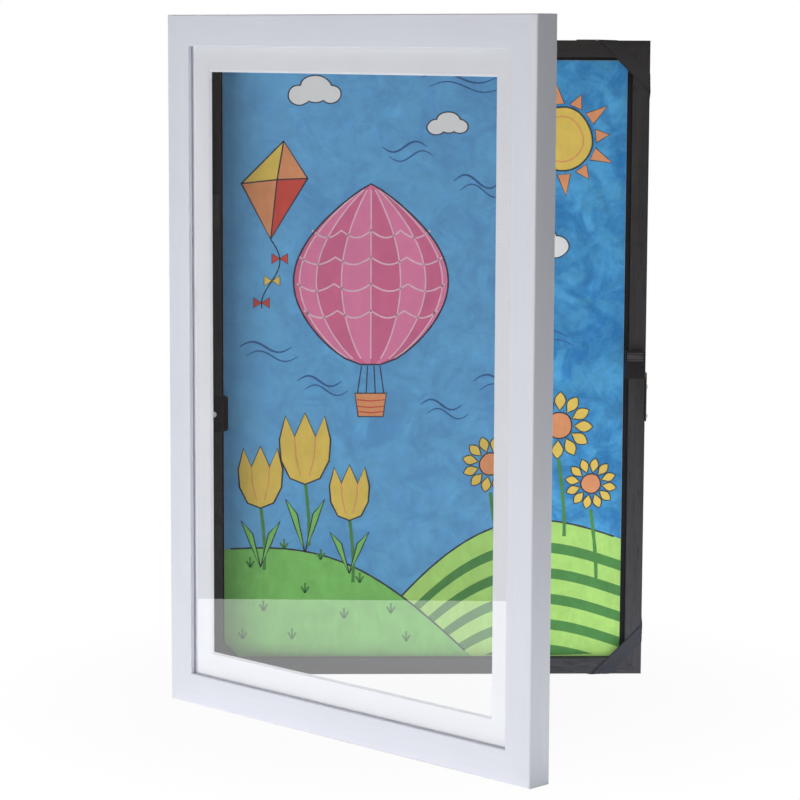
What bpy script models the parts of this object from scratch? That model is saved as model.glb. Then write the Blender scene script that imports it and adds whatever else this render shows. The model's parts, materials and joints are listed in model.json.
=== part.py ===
"""Front-opening art frame: a shallow tray for a sheet, behind a hinged and glazed door frame.

X runs to the viewer's right, -Y faces the viewer, +Y faces the wall and +Z is up. The origin is the
centre of the back panel's rear face. The door stands part open, as it does in use.
"""

import math

import bmesh
import bpy
from mathutils import Matrix, Vector

# The sheet that the frame is made for
SHEET_WIDTH = 0.3048
SHEET_HEIGHT = 0.4572
SHEET_THICK = 0.0004
SHEET_PLAY_SIDE = 0.0026
SHEET_PLAY_TOP = 0.0014
SHEET_SLIP_LEFT = 0.0013

# Tray
RIM_WIDTH = 0.0125
RECESS_DEPTH = 0.0055
BOARD_THICK = 0.0065
BOARD_PLAY = 0.0003
PANEL_THICK = 0.0030
PANEL_REBATE = 0.0045
TRAY_EDGE_ROUND = 0.0008

# Door
DOOR_OVERLAP = 0.0175
DOOR_THICK = 0.0199
DOOR_GAP = 0.0015
DOOR_OPEN_DEGREES = 46.3
MOULDING_WIDTH = 0.0231
MOULDING_OUTER_ROUND = 0.0012
MOULDING_INNER_ROUND = 0.0008
MOULDING_REAR_ROUND = 0.0006
LIP_THICK = 0.0035
LIP_REACH = 0.0050
PANE_THICK = 0.0015
PANE_PLAY = 0.0006
MAT_THICK = 0.0015
MAT_SHOW = 0.0187
STRIP_WIDTH = 0.0120
STRIP_THICK = 0.0052
STRIP_ROUND = 0.0008

# Clearances
SEAT = 0.0003
MITRE_GAP = 0.0003
OVERRUN = 0.0010
WELD = 0.00001

# Hinges
AXIS_OUTSIDE = 0.0013
HINGE_FROM_CENTRE = 0.113
LEAF_HEIGHT = 0.026
LEAF_THICK = 0.0009
TRAY_LEAF_WIDTH = 0.0122
DOOR_LEAF_WIDTH = 0.0145
KNUCKLE_RADIUS = 0.0014
KNUCKLE_MIDDLE = 0.0084
PIN_RADIUS = 0.0007
PIN_BORE_RADIUS = 0.00078
PIN_HEAD_RADIUS = 0.0013
PIN_HEAD_HEIGHT = 0.0007
LEAF_SCREW_SPREAD = 0.0080
TRAY_LEAF_SCREW_OUT = 0.0072
DOOR_LEAF_SCREW_OUT = 0.0085

# Screws and nails
FLAT_HEAD_RADIUS = 0.0018
FLAT_HEAD_HEIGHT = 0.0009
PAN_HEAD_RADIUS = 0.0024
PAN_HEAD_HEIGHT = 0.0016
SHANK_RADIUS = 0.0010
SHANK_POINT = 0.0018
CROSS_REACH = 0.0011
CROSS_WIDTH = 0.0004
CROSS_DEPTH = 0.0005
LEAF_SCREW_LENGTH = 0.0090
STRIKE_SCREW_LENGTH = 0.0048
CATCH_SCREW_LENGTH = 0.0080
CLIP_SCREW_LENGTH = 0.0080
NAIL_HEAD_RADIUS = 0.0012
NAIL_HEAD_HEIGHT = 0.0005
NAIL_SHANK_RADIUS = 0.0006
NAIL_LENGTH = 0.0085

# Elastic straps across the tray's corners
STRAP_WIDTH = 0.0104
STRAP_THICK = 0.0006
STRAP_CORNER_REACH = 0.0317
STRAP_TAIL = 0.0060
STAPLE_WIRE = 0.0007
STAPLE_PLAY = 0.0004
STAPLE_LEG = 0.0050

# Magnetic catch on the tray's free side
CATCH_Z = -0.0017
CATCH_WIDTH = 0.0148
CATCH_HEIGHT = 0.0210
CATCH_FROM_EDGE = 0.0013
CATCH_ROUND = 0.0008
CATCH_AIR = 0.0005
BRACKET_THICK = 0.0007
BRACKET_SIDE_TOP = -0.0085
BRACKET_SIDE_BOTTOM = -0.0457
BRACKET_SIDE_DEPTH = 0.0133
CATCH_SCREW_UPPER_Z = -0.0199
CATCH_SCREW_LOWER_Z = -0.0423
CATCH_SCREW_BACK = 0.0070
MAGNET_WIDTH = 0.0126
MAGNET_HEIGHT = 0.0036
MAGNET_DEPTH = 0.0030
POLE_THICK = 0.0012
POCKET_FROM_TOP = 0.0010
STRIKE_WIDTH = 0.0100
STRIKE_HEIGHT = 0.0200
STRIKE_THICK = 0.0012
STRIKE_SCREW_DROP = 0.0065

# Springy clip for the sheet's hinge-side edge
CLIP_Z = -0.0406
CLIP_HEIGHT = 0.0270
CLIP_THICK = 0.0008
CLIP_ON_RIM = 0.0100
CLIP_OVER_SHEET = 0.0035
CLIP_ROUND = 0.0024
CLIP_SCREW_OUT = 0.0060

# Hanger and wall bumpers
HANGER_WIDTH = 0.0420
HANGER_HEIGHT = 0.0070
HANGER_THICK = 0.0008
HANGER_FOOT = 0.0075
HANGER_RAMP = 0.0020
HANGER_STAND = 0.0012
TOOTH_HEIGHT = 0.0012
TOOTH_COUNT = 9
BUMPER_RADIUS = 0.0036
BUMPER_THICK = 0.0032
BUMPER_ROUND = 0.0008
BUMPER_FROM_CORNER = 0.0160

# Worked out from the sizes above
OPENING_WIDTH = SHEET_WIDTH + 2 * SHEET_PLAY_SIDE
OPENING_HEIGHT = SHEET_HEIGHT + 2 * SHEET_PLAY_TOP
TRAY_WIDTH = OPENING_WIDTH + 2 * RIM_WIDTH
TRAY_HEIGHT = OPENING_HEIGHT + 2 * RIM_WIDTH
TRAY_DEPTH = RECESS_DEPTH + SHEET_THICK + SEAT + BOARD_THICK + SEAT + PANEL_THICK
TRAY_FRONT = -TRAY_DEPTH
RING_WIDTH = RIM_WIDTH - PANEL_REBATE
DOOR_WIDTH = TRAY_WIDTH + 2 * DOOR_OVERLAP
DOOR_HEIGHT = TRAY_HEIGHT + 2 * DOOR_OVERLAP
DOOR_REAR = TRAY_FRONT - DOOR_GAP
DOOR_FRONT = DOOR_REAR - DOOR_THICK
DOOR_RING = MOULDING_WIDTH - LIP_REACH
REBATE_WIDTH = DOOR_WIDTH - 2 * DOOR_RING
REBATE_HEIGHT = DOOR_HEIGHT - 2 * DOOR_RING
PANE_FRONT = DOOR_FRONT + LIP_THICK + SEAT
MAT_FRONT = PANE_FRONT + PANE_THICK + SEAT
STRIP_FRONT = MAT_FRONT + MAT_THICK + SEAT
STRIP_REAR = STRIP_FRONT + STRIP_THICK
AXIS_X = -TRAY_WIDTH / 2 - AXIS_OUTSIDE
AXIS_Y = TRAY_FRONT - KNUCKLE_RADIUS - SEAT

ROUND_STEPS = 4
TURN_STEPS = 16

# Colours and surface values of the finishes: red, green, blue, roughness, metallic
WHITE_LACQUER = ("white_lacquer", (0.76, 0.77, 0.81), 0.42, 0.0)
CHARCOAL_STAIN = ("charcoal_stain", (0.040, 0.036, 0.035), 0.55, 0.0)
BLACK_BOARD = ("black_board", (0.02, 0.02, 0.02), 0.85, 0.0)
BROWN_PANEL = ("brown_panel", (0.30, 0.20, 0.12), 0.75, 0.0)
SHEET_PAPER = ("sheet_paper", (0.35, 0.60, 0.80), 0.80, 0.0)
CLEAR_PANE = ("clear_pane", (0.90, 0.93, 0.94), 0.06, 0.0)
MAT_BOARD = ("mat_board", (0.80, 0.81, 0.84), 0.90, 0.0)
PLAIN_WOOD = ("plain_wood", (0.62, 0.47, 0.30), 0.70, 0.0)
BLACK_ELASTIC = ("black_elastic", (0.036, 0.034, 0.036), 0.80, 0.0)
STAPLE_STEEL = ("staple_steel", (0.60, 0.60, 0.60), 0.35, 1.0)
BRASSED_STEEL = ("brassed_steel", (0.42, 0.37, 0.22), 0.40, 1.0)
BLACKENED_STEEL = ("blackened_steel", (0.085, 0.080, 0.076), 0.50, 1.0)
BLACK_PLASTIC = ("black_plastic", (0.03, 0.03, 0.03), 0.45, 0.0)
DARK_MAGNET = ("dark_magnet", (0.10, 0.10, 0.11), 0.60, 0.3)
BRIGHT_STEEL = ("bright_steel", (0.65, 0.65, 0.66), 0.30, 1.0)
BLACK_RUBBER = ("black_rubber", (0.04, 0.04, 0.04), 0.90, 0.0)


class Body:
    """A rigid group of pieces, carried by an empty whose origin is the group's own."""

    def __init__(self, name, origin):
        self.origin = Vector(origin)
        self.empty = bpy.data.objects.new(name, None)
        self.empty.location = self.origin
        PARTS.objects.link(self.empty)

    def carry(self, piece, at):
        """Parent a piece to the group, at a point given with the door closed."""
        piece.parent = self.empty
        piece.location = Vector(at) - self.origin


def clear_scene():
    """Remove whatever the scene holds."""
    for old in list(bpy.data.objects):
        bpy.data.objects.remove(old, do_unlink=True)


def collection(name):
    """Add a collection to the scene."""
    group = bpy.data.collections.new(name)
    bpy.context.scene.collection.children.link(group)
    return group


def finish_material(finish):
    """Return the Principled material of a finish, made on its first use."""
    name, colour, roughness, metallic = finish
    material = bpy.data.materials.get(name)
    if material is None:
        material = bpy.data.materials.new(name)
        material.use_nodes = True
        shader = material.node_tree.nodes["Principled BSDF"]
        shader.inputs["Base Color"].default_value = (*colour, 1)
        shader.inputs["Roughness"].default_value = roughness
        shader.inputs["Metallic"].default_value = metallic
    return material


def piece_from(bm, name, finish, body, at, turn=None):
    """Make a named part from a bmesh, dress it and place it on its body."""
    mesh = bpy.data.meshes.new(name)
    bm.to_mesh(mesh)
    bm.free()
    piece = bpy.data.objects.new(name, mesh)
    mesh.materials.append(finish_material(finish))
    PARTS.objects.link(piece)
    body.carry(piece, at)
    if turn is not None:
        piece.rotation_euler = turn.to_euler()
    return piece


def cutter_from(bm, name, body, at, turn=None):
    """Make a hidden tool solid from a bmesh."""
    bmesh.ops.recalc_face_normals(bm, faces=bm.faces)
    mesh = bpy.data.meshes.new(name)
    bm.to_mesh(mesh)
    bm.free()
    cutter = bpy.data.objects.new(name, mesh)
    cutter.hide_render = True
    cutter.display_type = "WIRE"
    CUTTERS.objects.link(cutter)
    body.carry(cutter, at)
    if turn is not None:
        cutter.rotation_euler = turn.to_euler()
    return cutter


def boolean(piece, cutter, operation="DIFFERENCE"):
    """Cut or join a tool solid on a part."""
    step = piece.modifiers.new(cutter.name, "BOOLEAN")
    step.operation = operation
    step.solver = "EXACT"
    step.object = cutter


def box_mesh(size):
    """A box about its own centre."""
    bm = bmesh.new()
    bmesh.ops.create_cube(bm, size=1, matrix=Matrix.Diagonal((*size, 1)))
    return bm


def cylinder_mesh(radius, length, end_radius=None):
    """A cylinder or cone along Z, from its mouth at the origin down to -length."""
    bm = bmesh.new()
    bmesh.ops.create_cone(bm, cap_ends=True, segments=TURN_STEPS, radius2=radius,
                          radius1=radius if end_radius is None else end_radius, depth=length,
                          matrix=Matrix.Translation((0, 0, -length / 2)))
    return bm


def rounded_outline(corners):
    """Points of a flat outline whose corners, given as (point, radius), are rounded by arcs."""
    points = []
    for index, (corner, radius) in enumerate(corners):
        here = Vector(corner)
        if radius == 0:
            points.append(here)
            continue
        before = (Vector(corners[index - 1][0]) - here).normalized()
        after = (Vector(corners[(index + 1) % len(corners)][0]) - here).normalized()
        half = before.angle(after) / 2
        centre = here + (before + after).normalized() * (radius / math.sin(half))
        start = here + before * (radius / math.tan(half)) - centre
        turn = (math.pi - 2 * half) * (1 if before.cross(after) < 0 else -1)
        for step in range(ROUND_STEPS + 1):
            points.append(centre + Matrix.Rotation(turn * step / ROUND_STEPS, 2) @ start)
    return points


def prism_mesh(points, height):
    """A flat outline in XY, extruded to a height about the XY plane."""
    bm = bmesh.new()
    face = bm.faces.new([bm.verts.new((point[0], point[1], -height / 2)) for point in points])
    grown = bmesh.ops.extrude_face_region(bm, geom=[face])
    lifted = [item for item in grown["geom"] if isinstance(item, bmesh.types.BMVert)]
    bmesh.ops.translate(bm, verts=lifted, vec=(0, 0, height))
    bmesh.ops.recalc_face_normals(bm, faces=bm.faces)
    return bm


def smooth(piece, degrees=40):
    """Shade a part smooth up to an angle."""
    piece.data.shade_smooth()
    piece.data.set_sharp_from_angle(angle=math.radians(degrees))


def mitred_mesh(outline, length):
    """A moulding along X. The outline holds (inward, back) points, and both ends are mitred."""
    bm = bmesh.new()
    face = bm.faces.new([bm.verts.new((0, back, inward)) for inward, back in outline])
    near = list(face.verts)
    grown = bmesh.ops.extrude_face_region(bm, geom=[face])
    far = [item for item in grown["geom"] if isinstance(item, bmesh.types.BMVert)]
    shortening = MITRE_GAP / 2 * math.sqrt(2)
    for verts, side in ((near, -1), (far, 1)):
        for vert in verts:
            vert.co.x = side * (length / 2 - vert.co.z - shortening)
    bmesh.ops.recalc_face_normals(bm, faces=bm.faces)
    return bm


# Where the four sides of a frame lie: name, turn about Y, and the signs of X and Z
BOTTOM = ("bottom", 0, 0, -1)
HINGE_SIDE = ("hinge", 90, -1, 0)
TOP = ("top", 180, 0, 1)
FREE_SIDE = ("free", 270, 1, 0)


def frame_side(name, side, outline, width, height, front, finish, body):
    """One mitred side of a frame of the given outer size."""
    _, degrees, x_sign, z_sign = side
    length = height if x_sign else width
    bm = mitred_mesh(outline, length)
    turn = Matrix.Rotation(math.radians(degrees), 3, "Y")
    piece = piece_from(bm, name, finish, body, (x_sign * width / 2, front, z_sign * height / 2), turn)
    smooth(piece)
    return piece


def tray_outline():
    """Section of the tray's rails: a rim with a rear rebate for the back panel."""
    rebate = TRAY_DEPTH - PANEL_THICK - SEAT
    return rounded_outline([
        ((0, 0), TRAY_EDGE_ROUND),
        ((RIM_WIDTH, 0), TRAY_EDGE_ROUND),
        ((RIM_WIDTH, rebate), 0),
        ((RING_WIDTH, rebate), 0),
        ((RING_WIDTH, TRAY_DEPTH), 0),
        ((0, TRAY_DEPTH), TRAY_EDGE_ROUND),
    ])


def door_outline():
    """Section of the door's mouldings: a rounded sight edge over the rebate for the pane."""
    return rounded_outline([
        ((0, 0), MOULDING_OUTER_ROUND),
        ((MOULDING_WIDTH, 0), MOULDING_INNER_ROUND),
        ((MOULDING_WIDTH, LIP_THICK), 0),
        ((DOOR_RING, LIP_THICK), 0),
        ((DOOR_RING, DOOR_THICK), 0),
        ((0, DOOR_THICK), MOULDING_REAR_ROUND),
    ])


def screw_profile(head_radius, head_height, flat_head, length):
    """Half section of a screw from the middle of its head down to its point."""
    if flat_head:
        head = [(head_radius, 0), (SHANK_RADIUS, -head_height)]
    else:
        head = [(head_radius * math.cos(angle), -head_height * (1 - math.sin(angle)))
                for angle in (math.radians(degrees) for degrees in (75, 50, 25, 0))]
        head.append((SHANK_RADIUS, -head_height))
    return [(0, 0)] + head + [(SHANK_RADIUS, SHANK_POINT - length), (0, -length)]


def turned_piece(name, profile, finish, body, at, out):
    """A round part about its own Z axis, with Z laid along the direction out."""
    bm = bmesh.new()
    verts = [bm.verts.new((radius, 0, height)) for radius, height in profile]
    edges = [bm.edges.new(pair) for pair in zip(verts, verts[1:])]
    bmesh.ops.spin(bm, geom=verts + edges, cent=(0, 0, 0), axis=(0, 0, 1), angle=2 * math.pi,
                   steps=TURN_STEPS, use_merge=True)
    bmesh.ops.remove_doubles(bm, verts=bm.verts[:], dist=WELD)
    bmesh.ops.recalc_face_normals(bm, faces=bm.faces)
    piece = piece_from(bm, name, finish, body, at, facing(out))
    smooth(piece)
    return piece


def facing(out):
    """Rotation that lays Z along a direction."""
    return Vector(out).to_track_quat("Z", "Y").to_matrix()


def cross_screw(name, flat_head, length, finish, body, at, out):
    """A cross-head screw whose head's outer face is centred at a point."""
    radius = FLAT_HEAD_RADIUS if flat_head else PAN_HEAD_RADIUS
    height = FLAT_HEAD_HEIGHT if flat_head else PAN_HEAD_HEIGHT
    screw = turned_piece(name, screw_profile(radius, height, flat_head, length), finish, body, at, out)
    arm, half = CROSS_REACH, CROSS_WIDTH / 2
    quarter = [(half, arm), (half, half), (arm, half)]
    plus = []
    for turns in range(4):
        spin = Matrix.Rotation(-math.pi / 2 * turns, 2)
        plus += [spin @ Vector(point) for point in quarter]
    recess = cutter_from(prism_mesh(plus, 2 * CROSS_DEPTH), name + "_recess", body, at, facing(out))
    boolean(screw, recess)
    return screw


def drill(piece, body, at, out, radius, depth):
    """Drill a hole into a part from a point on its surface."""
    mouth = Vector(at) + Vector(out) * OVERRUN
    hole = cutter_from(cylinder_mesh(radius, depth + OVERRUN), f"{piece.name}_hole_{len(CUTTERS.objects)}",
                       body, mouth, facing(out))
    smooth(hole)
    boolean(piece, hole)


def countersink(piece, body, at, out, thick):
    """Countersink a plate for a flat screw head that ends flush with it."""
    wide = FLAT_HEAD_RADIUS + SEAT
    narrow = SHANK_RADIUS + SEAT
    slope = (wide - narrow) / FLAT_HEAD_HEIGHT
    bm = cylinder_mesh(wide + slope * OVERRUN, thick + 2 * OVERRUN, narrow)
    mouth = Vector(at) + Vector(out) * OVERRUN
    hole = cutter_from(bm, f"{piece.name}_sink_{len(CUTTERS.objects)}", body, mouth, facing(out))
    smooth(hole)
    boolean(piece, hole)


def build_tray(tray):
    """The four mitred rails, the panel, the board and the sheet."""
    outline = tray_outline()
    rails = {}
    for side, name in ((BOTTOM, "tray_rail_bottom"), (TOP, "tray_rail_top"),
                       (HINGE_SIDE, "tray_stile_hinge"), (FREE_SIDE, "tray_stile_catch")):
        rails[side[0]] = frame_side(name, side, outline, TRAY_WIDTH, TRAY_HEIGHT, TRAY_FRONT,
                                    CHARCOAL_STAIN, tray)
    reach = PANEL_REBATE - SEAT
    panel = (OPENING_WIDTH + 2 * reach, PANEL_THICK, OPENING_HEIGHT + 2 * reach)
    piece_from(box_mesh(panel), "back_panel", BROWN_PANEL, tray, (0, -PANEL_THICK / 2, 0))
    board = (OPENING_WIDTH - 2 * BOARD_PLAY, BOARD_THICK, OPENING_HEIGHT - 2 * BOARD_PLAY)
    board_y = -PANEL_THICK - SEAT - BOARD_THICK / 2
    piece_from(box_mesh(board), "backing_board", BLACK_BOARD, tray, (0, board_y, 0))
    sheet_y = TRAY_FRONT + RECESS_DEPTH + SHEET_THICK / 2
    sheet_z = -SHEET_PLAY_TOP + SEAT
    piece_from(box_mesh((SHEET_WIDTH, SHEET_THICK, SHEET_HEIGHT)), "art_sheet", SHEET_PAPER, tray,
               (-SHEET_SLIP_LEFT, sheet_y, sheet_z))
    return rails


def around_edge(run):
    """Inward distance and depth of a strap's underside, a run past the front rounding's start."""
    bend = TRAY_EDGE_ROUND + SEAT
    arc = bend * math.pi / 2
    straight = TRAY_DEPTH - 2 * TRAY_EDGE_ROUND
    if run <= arc:
        angle = run / bend
        return TRAY_EDGE_ROUND - bend * math.sin(angle), TRAY_FRONT + TRAY_EDGE_ROUND - bend * math.cos(angle)
    if run <= arc + straight:
        return -SEAT, TRAY_FRONT + TRAY_EDGE_ROUND + run - arc
    if run <= 2 * arc + straight:
        angle = (run - arc - straight) / bend
        return TRAY_EDGE_ROUND - bend * math.cos(angle), -TRAY_EDGE_ROUND + bend * math.sin(angle)
    return TRAY_EDGE_ROUND + run - 2 * arc - straight, SEAT


def strap_runs():
    """Runs at which a strap starts and ends its two bends, and the run at its tail's end."""
    arc = (TRAY_EDGE_ROUND + SEAT) * math.pi / 2
    straight = TRAY_DEPTH - 2 * TRAY_EDGE_ROUND
    bends = [arc * step / ROUND_STEPS for step in range(ROUND_STEPS + 1)]
    bends += [arc + straight + bend for bend in bends]
    return bends, 2 * arc + straight + STRAP_TAIL


def build_strap(tray, x_sign, z_sign, name):
    """An elastic ribbon laid flat across a corner at 45 degrees, then folded round both edges."""
    bends, tail = strap_runs()
    bm = bmesh.new()
    middle = STRAP_CORNER_REACH / 2
    long_enough = 2 * (STRAP_CORNER_REACH + tail) * math.sqrt(2)
    lay = Matrix.Translation((middle, middle, 0)) @ Matrix.Rotation(math.radians(135), 4, "Z")
    bmesh.ops.create_grid(bm, x_segments=1, y_segments=1, size=1 / 2,
                          matrix=lay @ Matrix.Diagonal((long_enough, STRAP_WIDTH, 1, 1)))
    for axis in (Vector((1, 0, 0)), Vector((0, 1, 0))):
        for run in bends:
            everything = bm.verts[:] + bm.edges[:] + bm.faces[:]
            fold = axis * (TRAY_EDGE_ROUND - run)
            bmesh.ops.bisect_plane(bm, geom=everything, plane_co=fold, plane_no=axis)
        everything = bm.verts[:] + bm.edges[:] + bm.faces[:]
        bmesh.ops.bisect_plane(bm, geom=everything, plane_co=axis * (TRAY_EDGE_ROUND - tail), plane_no=axis,
                               clear_inner=True)
    for vert in bm.verts:
        across, up, depth = vert.co.x, vert.co.y, TRAY_FRONT - SEAT
        if up < TRAY_EDGE_ROUND:
            up, depth = around_edge(TRAY_EDGE_ROUND - up)
        elif across < TRAY_EDGE_ROUND:
            across, depth = around_edge(TRAY_EDGE_ROUND - across)
        vert.co = (x_sign * (TRAY_WIDTH / 2 - across), depth, z_sign * (TRAY_HEIGHT / 2 - up))
    bm.normal_update()
    if min(bm.faces, key=lambda face: face.calc_center_median().y).normal.y > 0:
        bmesh.ops.reverse_faces(bm, faces=bm.faces[:])
    strap = piece_from(bm, name, BLACK_ELASTIC, tray, (0, 0, 0))
    thick = strap.modifiers.new("thickness", "SOLIDIFY")
    thick.thickness = STRAP_THICK
    thick.offset = 1
    thick.use_even_offset = True


def build_staple(tray, rail, name, centre, along):
    """A wire staple over a strap's tail, with its legs in the rail."""
    inner = STRAP_WIDTH * math.sqrt(2) + 2 * STAPLE_PLAY
    outer = inner + 2 * STAPLE_WIRE
    top = 2 * SEAT + STRAP_THICK + STAPLE_WIRE
    outline = [(-outer / 2, -STAPLE_LEG), (-inner / 2, -STAPLE_LEG), (-inner / 2, top - STAPLE_WIRE),
               (inner / 2, top - STAPLE_WIRE), (inner / 2, -STAPLE_LEG), (outer / 2, -STAPLE_LEG),
               (outer / 2, top), (-outer / 2, top)]
    turn = Matrix.Rotation(0 if along == "X" else math.pi / 2, 3, "Y")
    piece_from(prism_mesh(outline, STAPLE_WIRE), name, STAPLE_STEEL, tray, centre, turn)
    for side in (-1, 1):
        reach = side * (inner + STAPLE_WIRE) / 2
        at = Vector(centre) + (Vector((reach, 0, 0)) if along == "X" else Vector((0, 0, reach)))
        slot = box_mesh((STAPLE_WIRE + 2 * SEAT, 2 * (STAPLE_LEG + SEAT), STAPLE_WIRE + 2 * SEAT))
        boolean(rail, cutter_from(slot, f"{name}_slot_{side}", tray, at))


def build_straps(tray, rails):
    """Four corner straps and the staples on their eight tails."""
    _, tail = strap_runs()
    mid_run = tail - STRAP_TAIL / 2
    inward, _ = around_edge(mid_run)
    along = STRAP_CORNER_REACH - TRAY_EDGE_ROUND + mid_run
    for z_sign, z_name in ((1, "top"), (-1, "bottom")):
        for x_sign, x_name in ((-1, "left"), (1, "right")):
            corner = f"{z_name}_{x_name}"
            build_strap(tray, x_sign, z_sign, f"corner_strap_{corner}")
            rail_at = (x_sign * (TRAY_WIDTH / 2 - along), 0, z_sign * (TRAY_HEIGHT / 2 - inward))
            build_staple(tray, rails[z_name], f"strap_staple_{corner}_rail", rail_at, "X")
            stile_at = (x_sign * (TRAY_WIDTH / 2 - inward), 0, z_sign * (TRAY_HEIGHT / 2 - along))
            stile = rails["hinge" if x_sign < 0 else "free"]
            build_staple(tray, stile, f"strap_staple_{corner}_stile", stile_at, "Z")


def build_door(door):
    """Mouldings, pane, mat and retaining strips."""
    outline = door_outline()
    mouldings = {}
    for side, name in ((BOTTOM, "door_rail_bottom"), (TOP, "door_rail_top"),
                       (HINGE_SIDE, "door_stile_hinge"), (FREE_SIDE, "door_stile_free")):
        mouldings[side[0]] = frame_side(name, side, outline, DOOR_WIDTH, DOOR_HEIGHT, DOOR_FRONT,
                                        WHITE_LACQUER, door)
    pane_width = REBATE_WIDTH - 2 * PANE_PLAY
    pane_height = REBATE_HEIGHT - 2 * PANE_PLAY
    piece_from(box_mesh((pane_width, PANE_THICK, pane_height)), "glazing_pane", CLEAR_PANE, door,
               (0, PANE_FRONT + PANE_THICK / 2, 0))
    mat_at = (0, MAT_FRONT + MAT_THICK / 2, 0)
    mat = piece_from(box_mesh((pane_width, MAT_THICK, pane_height)), "window_mat", MAT_BOARD, door, mat_at)
    window = box_mesh((DOOR_WIDTH - 2 * (MOULDING_WIDTH + MAT_SHOW), MAT_THICK + 2 * OVERRUN,
                       DOOR_HEIGHT - 2 * (MOULDING_WIDTH + MAT_SHOW)))
    for vert in window.verts:
        spread = -vert.co.y
        vert.co.x += math.copysign(spread, vert.co.x)
        vert.co.z += math.copysign(spread, vert.co.z)
    boolean(mat, cutter_from(window, "window_mat_opening", door, mat_at))
    strip = rounded_outline([((0, 0), 0), ((STRIP_WIDTH, 0), 0), ((STRIP_WIDTH, STRIP_THICK), STRIP_ROUND),
                             ((0, STRIP_THICK), 0)])
    strips = {}
    for side in (BOTTOM, TOP, HINGE_SIDE, FREE_SIDE):
        strips[side[0]] = frame_side(f"pane_strip_{side[0]}", side, strip, pane_width, pane_height,
                                     STRIP_FRONT, PLAIN_WOOD, door)
    return mouldings, strips


def knuckle_outline(tab):
    """Section of a knuckle with the tab that joins it to its leaf, for a leaf on the +Y side."""
    inner = KNUCKLE_RADIUS - LEAF_THICK
    start = math.asin(inner / KNUCKLE_RADIUS)
    sweep = start + math.pi * 3 / 2
    arc = [start - sweep * step / TURN_STEPS for step in range(TURN_STEPS + 1)]
    points = [(tab, inner)]
    points += [(KNUCKLE_RADIUS * math.cos(angle), KNUCKLE_RADIUS * math.sin(angle)) for angle in arc]
    return points + [(tab, KNUCKLE_RADIUS)]


def build_leaf(name, body, centre_z, width, knuckles, screw_out, side):
    """A hinge leaf: a plate, its knuckles, the pin's bore and two countersunk holes.

    side is +1 for the leaf on the tray, which lies to the right of the pin, and -1 for the door's.
    """
    at = (AXIS_X, AXIS_Y, centre_z)
    start = KNUCKLE_RADIUS + SEAT
    plate_y = KNUCKLE_RADIUS - LEAF_THICK / 2
    bm = box_mesh((width - start, LEAF_THICK, LEAF_HEIGHT))
    bmesh.ops.translate(bm, verts=bm.verts, vec=((width + start) / 2, plate_y, 0))
    turn = Matrix.Rotation(0 if side > 0 else math.pi, 3, "Z")
    leaf = piece_from(bm, name, BLACKENED_STEEL, body, at, turn)
    for index, (low, high) in enumerate(knuckles):
        bm = prism_mesh(knuckle_outline(start + OVERRUN), high - low)
        bmesh.ops.translate(bm, verts=bm.verts, vec=(0, 0, (low + high) / 2))
        knuckle = cutter_from(bm, f"{name}_knuckle_{index}", body, at, turn)
        smooth(knuckle)
        boolean(leaf, knuckle, "UNION")
    bore_top = Vector(at) + Vector((0, 0, LEAF_HEIGHT / 2))
    drill(leaf, body, bore_top, (0, 0, 1), PIN_BORE_RADIUS, LEAF_HEIGHT + OVERRUN)
    out = Vector((0, -side, 0))
    face_y = AXIS_Y + side * (KNUCKLE_RADIUS - LEAF_THICK)
    holes = []
    for z_sign in (-1, 1):
        hole = Vector((AXIS_X + side * screw_out, face_y, centre_z + z_sign * LEAF_SCREW_SPREAD))
        countersink(leaf, body, hole, out, LEAF_THICK)
        holes.append(hole)
    return holes, out


def hinge_pocket(door, stile, name, centre_z):
    """A pocket in the rear of the door's hinge stile, in which the leaf and the knuckles lie."""
    outer = AXIS_X - DOOR_LEAF_WIDTH - SEAT
    inner = DOOR_RING - DOOR_WIDTH / 2 + OVERRUN
    floor_y = AXIS_Y - KNUCKLE_RADIUS - SEAT
    mouth_y = DOOR_REAR + OVERRUN
    height = LEAF_HEIGHT + 2 * (PIN_HEAD_HEIGHT + 2 * SEAT)
    bm = box_mesh((inner - outer, mouth_y - floor_y, height))
    boolean(stile, cutter_from(bm, name, door, ((inner + outer) / 2, (mouth_y + floor_y) / 2, centre_z)))


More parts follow.
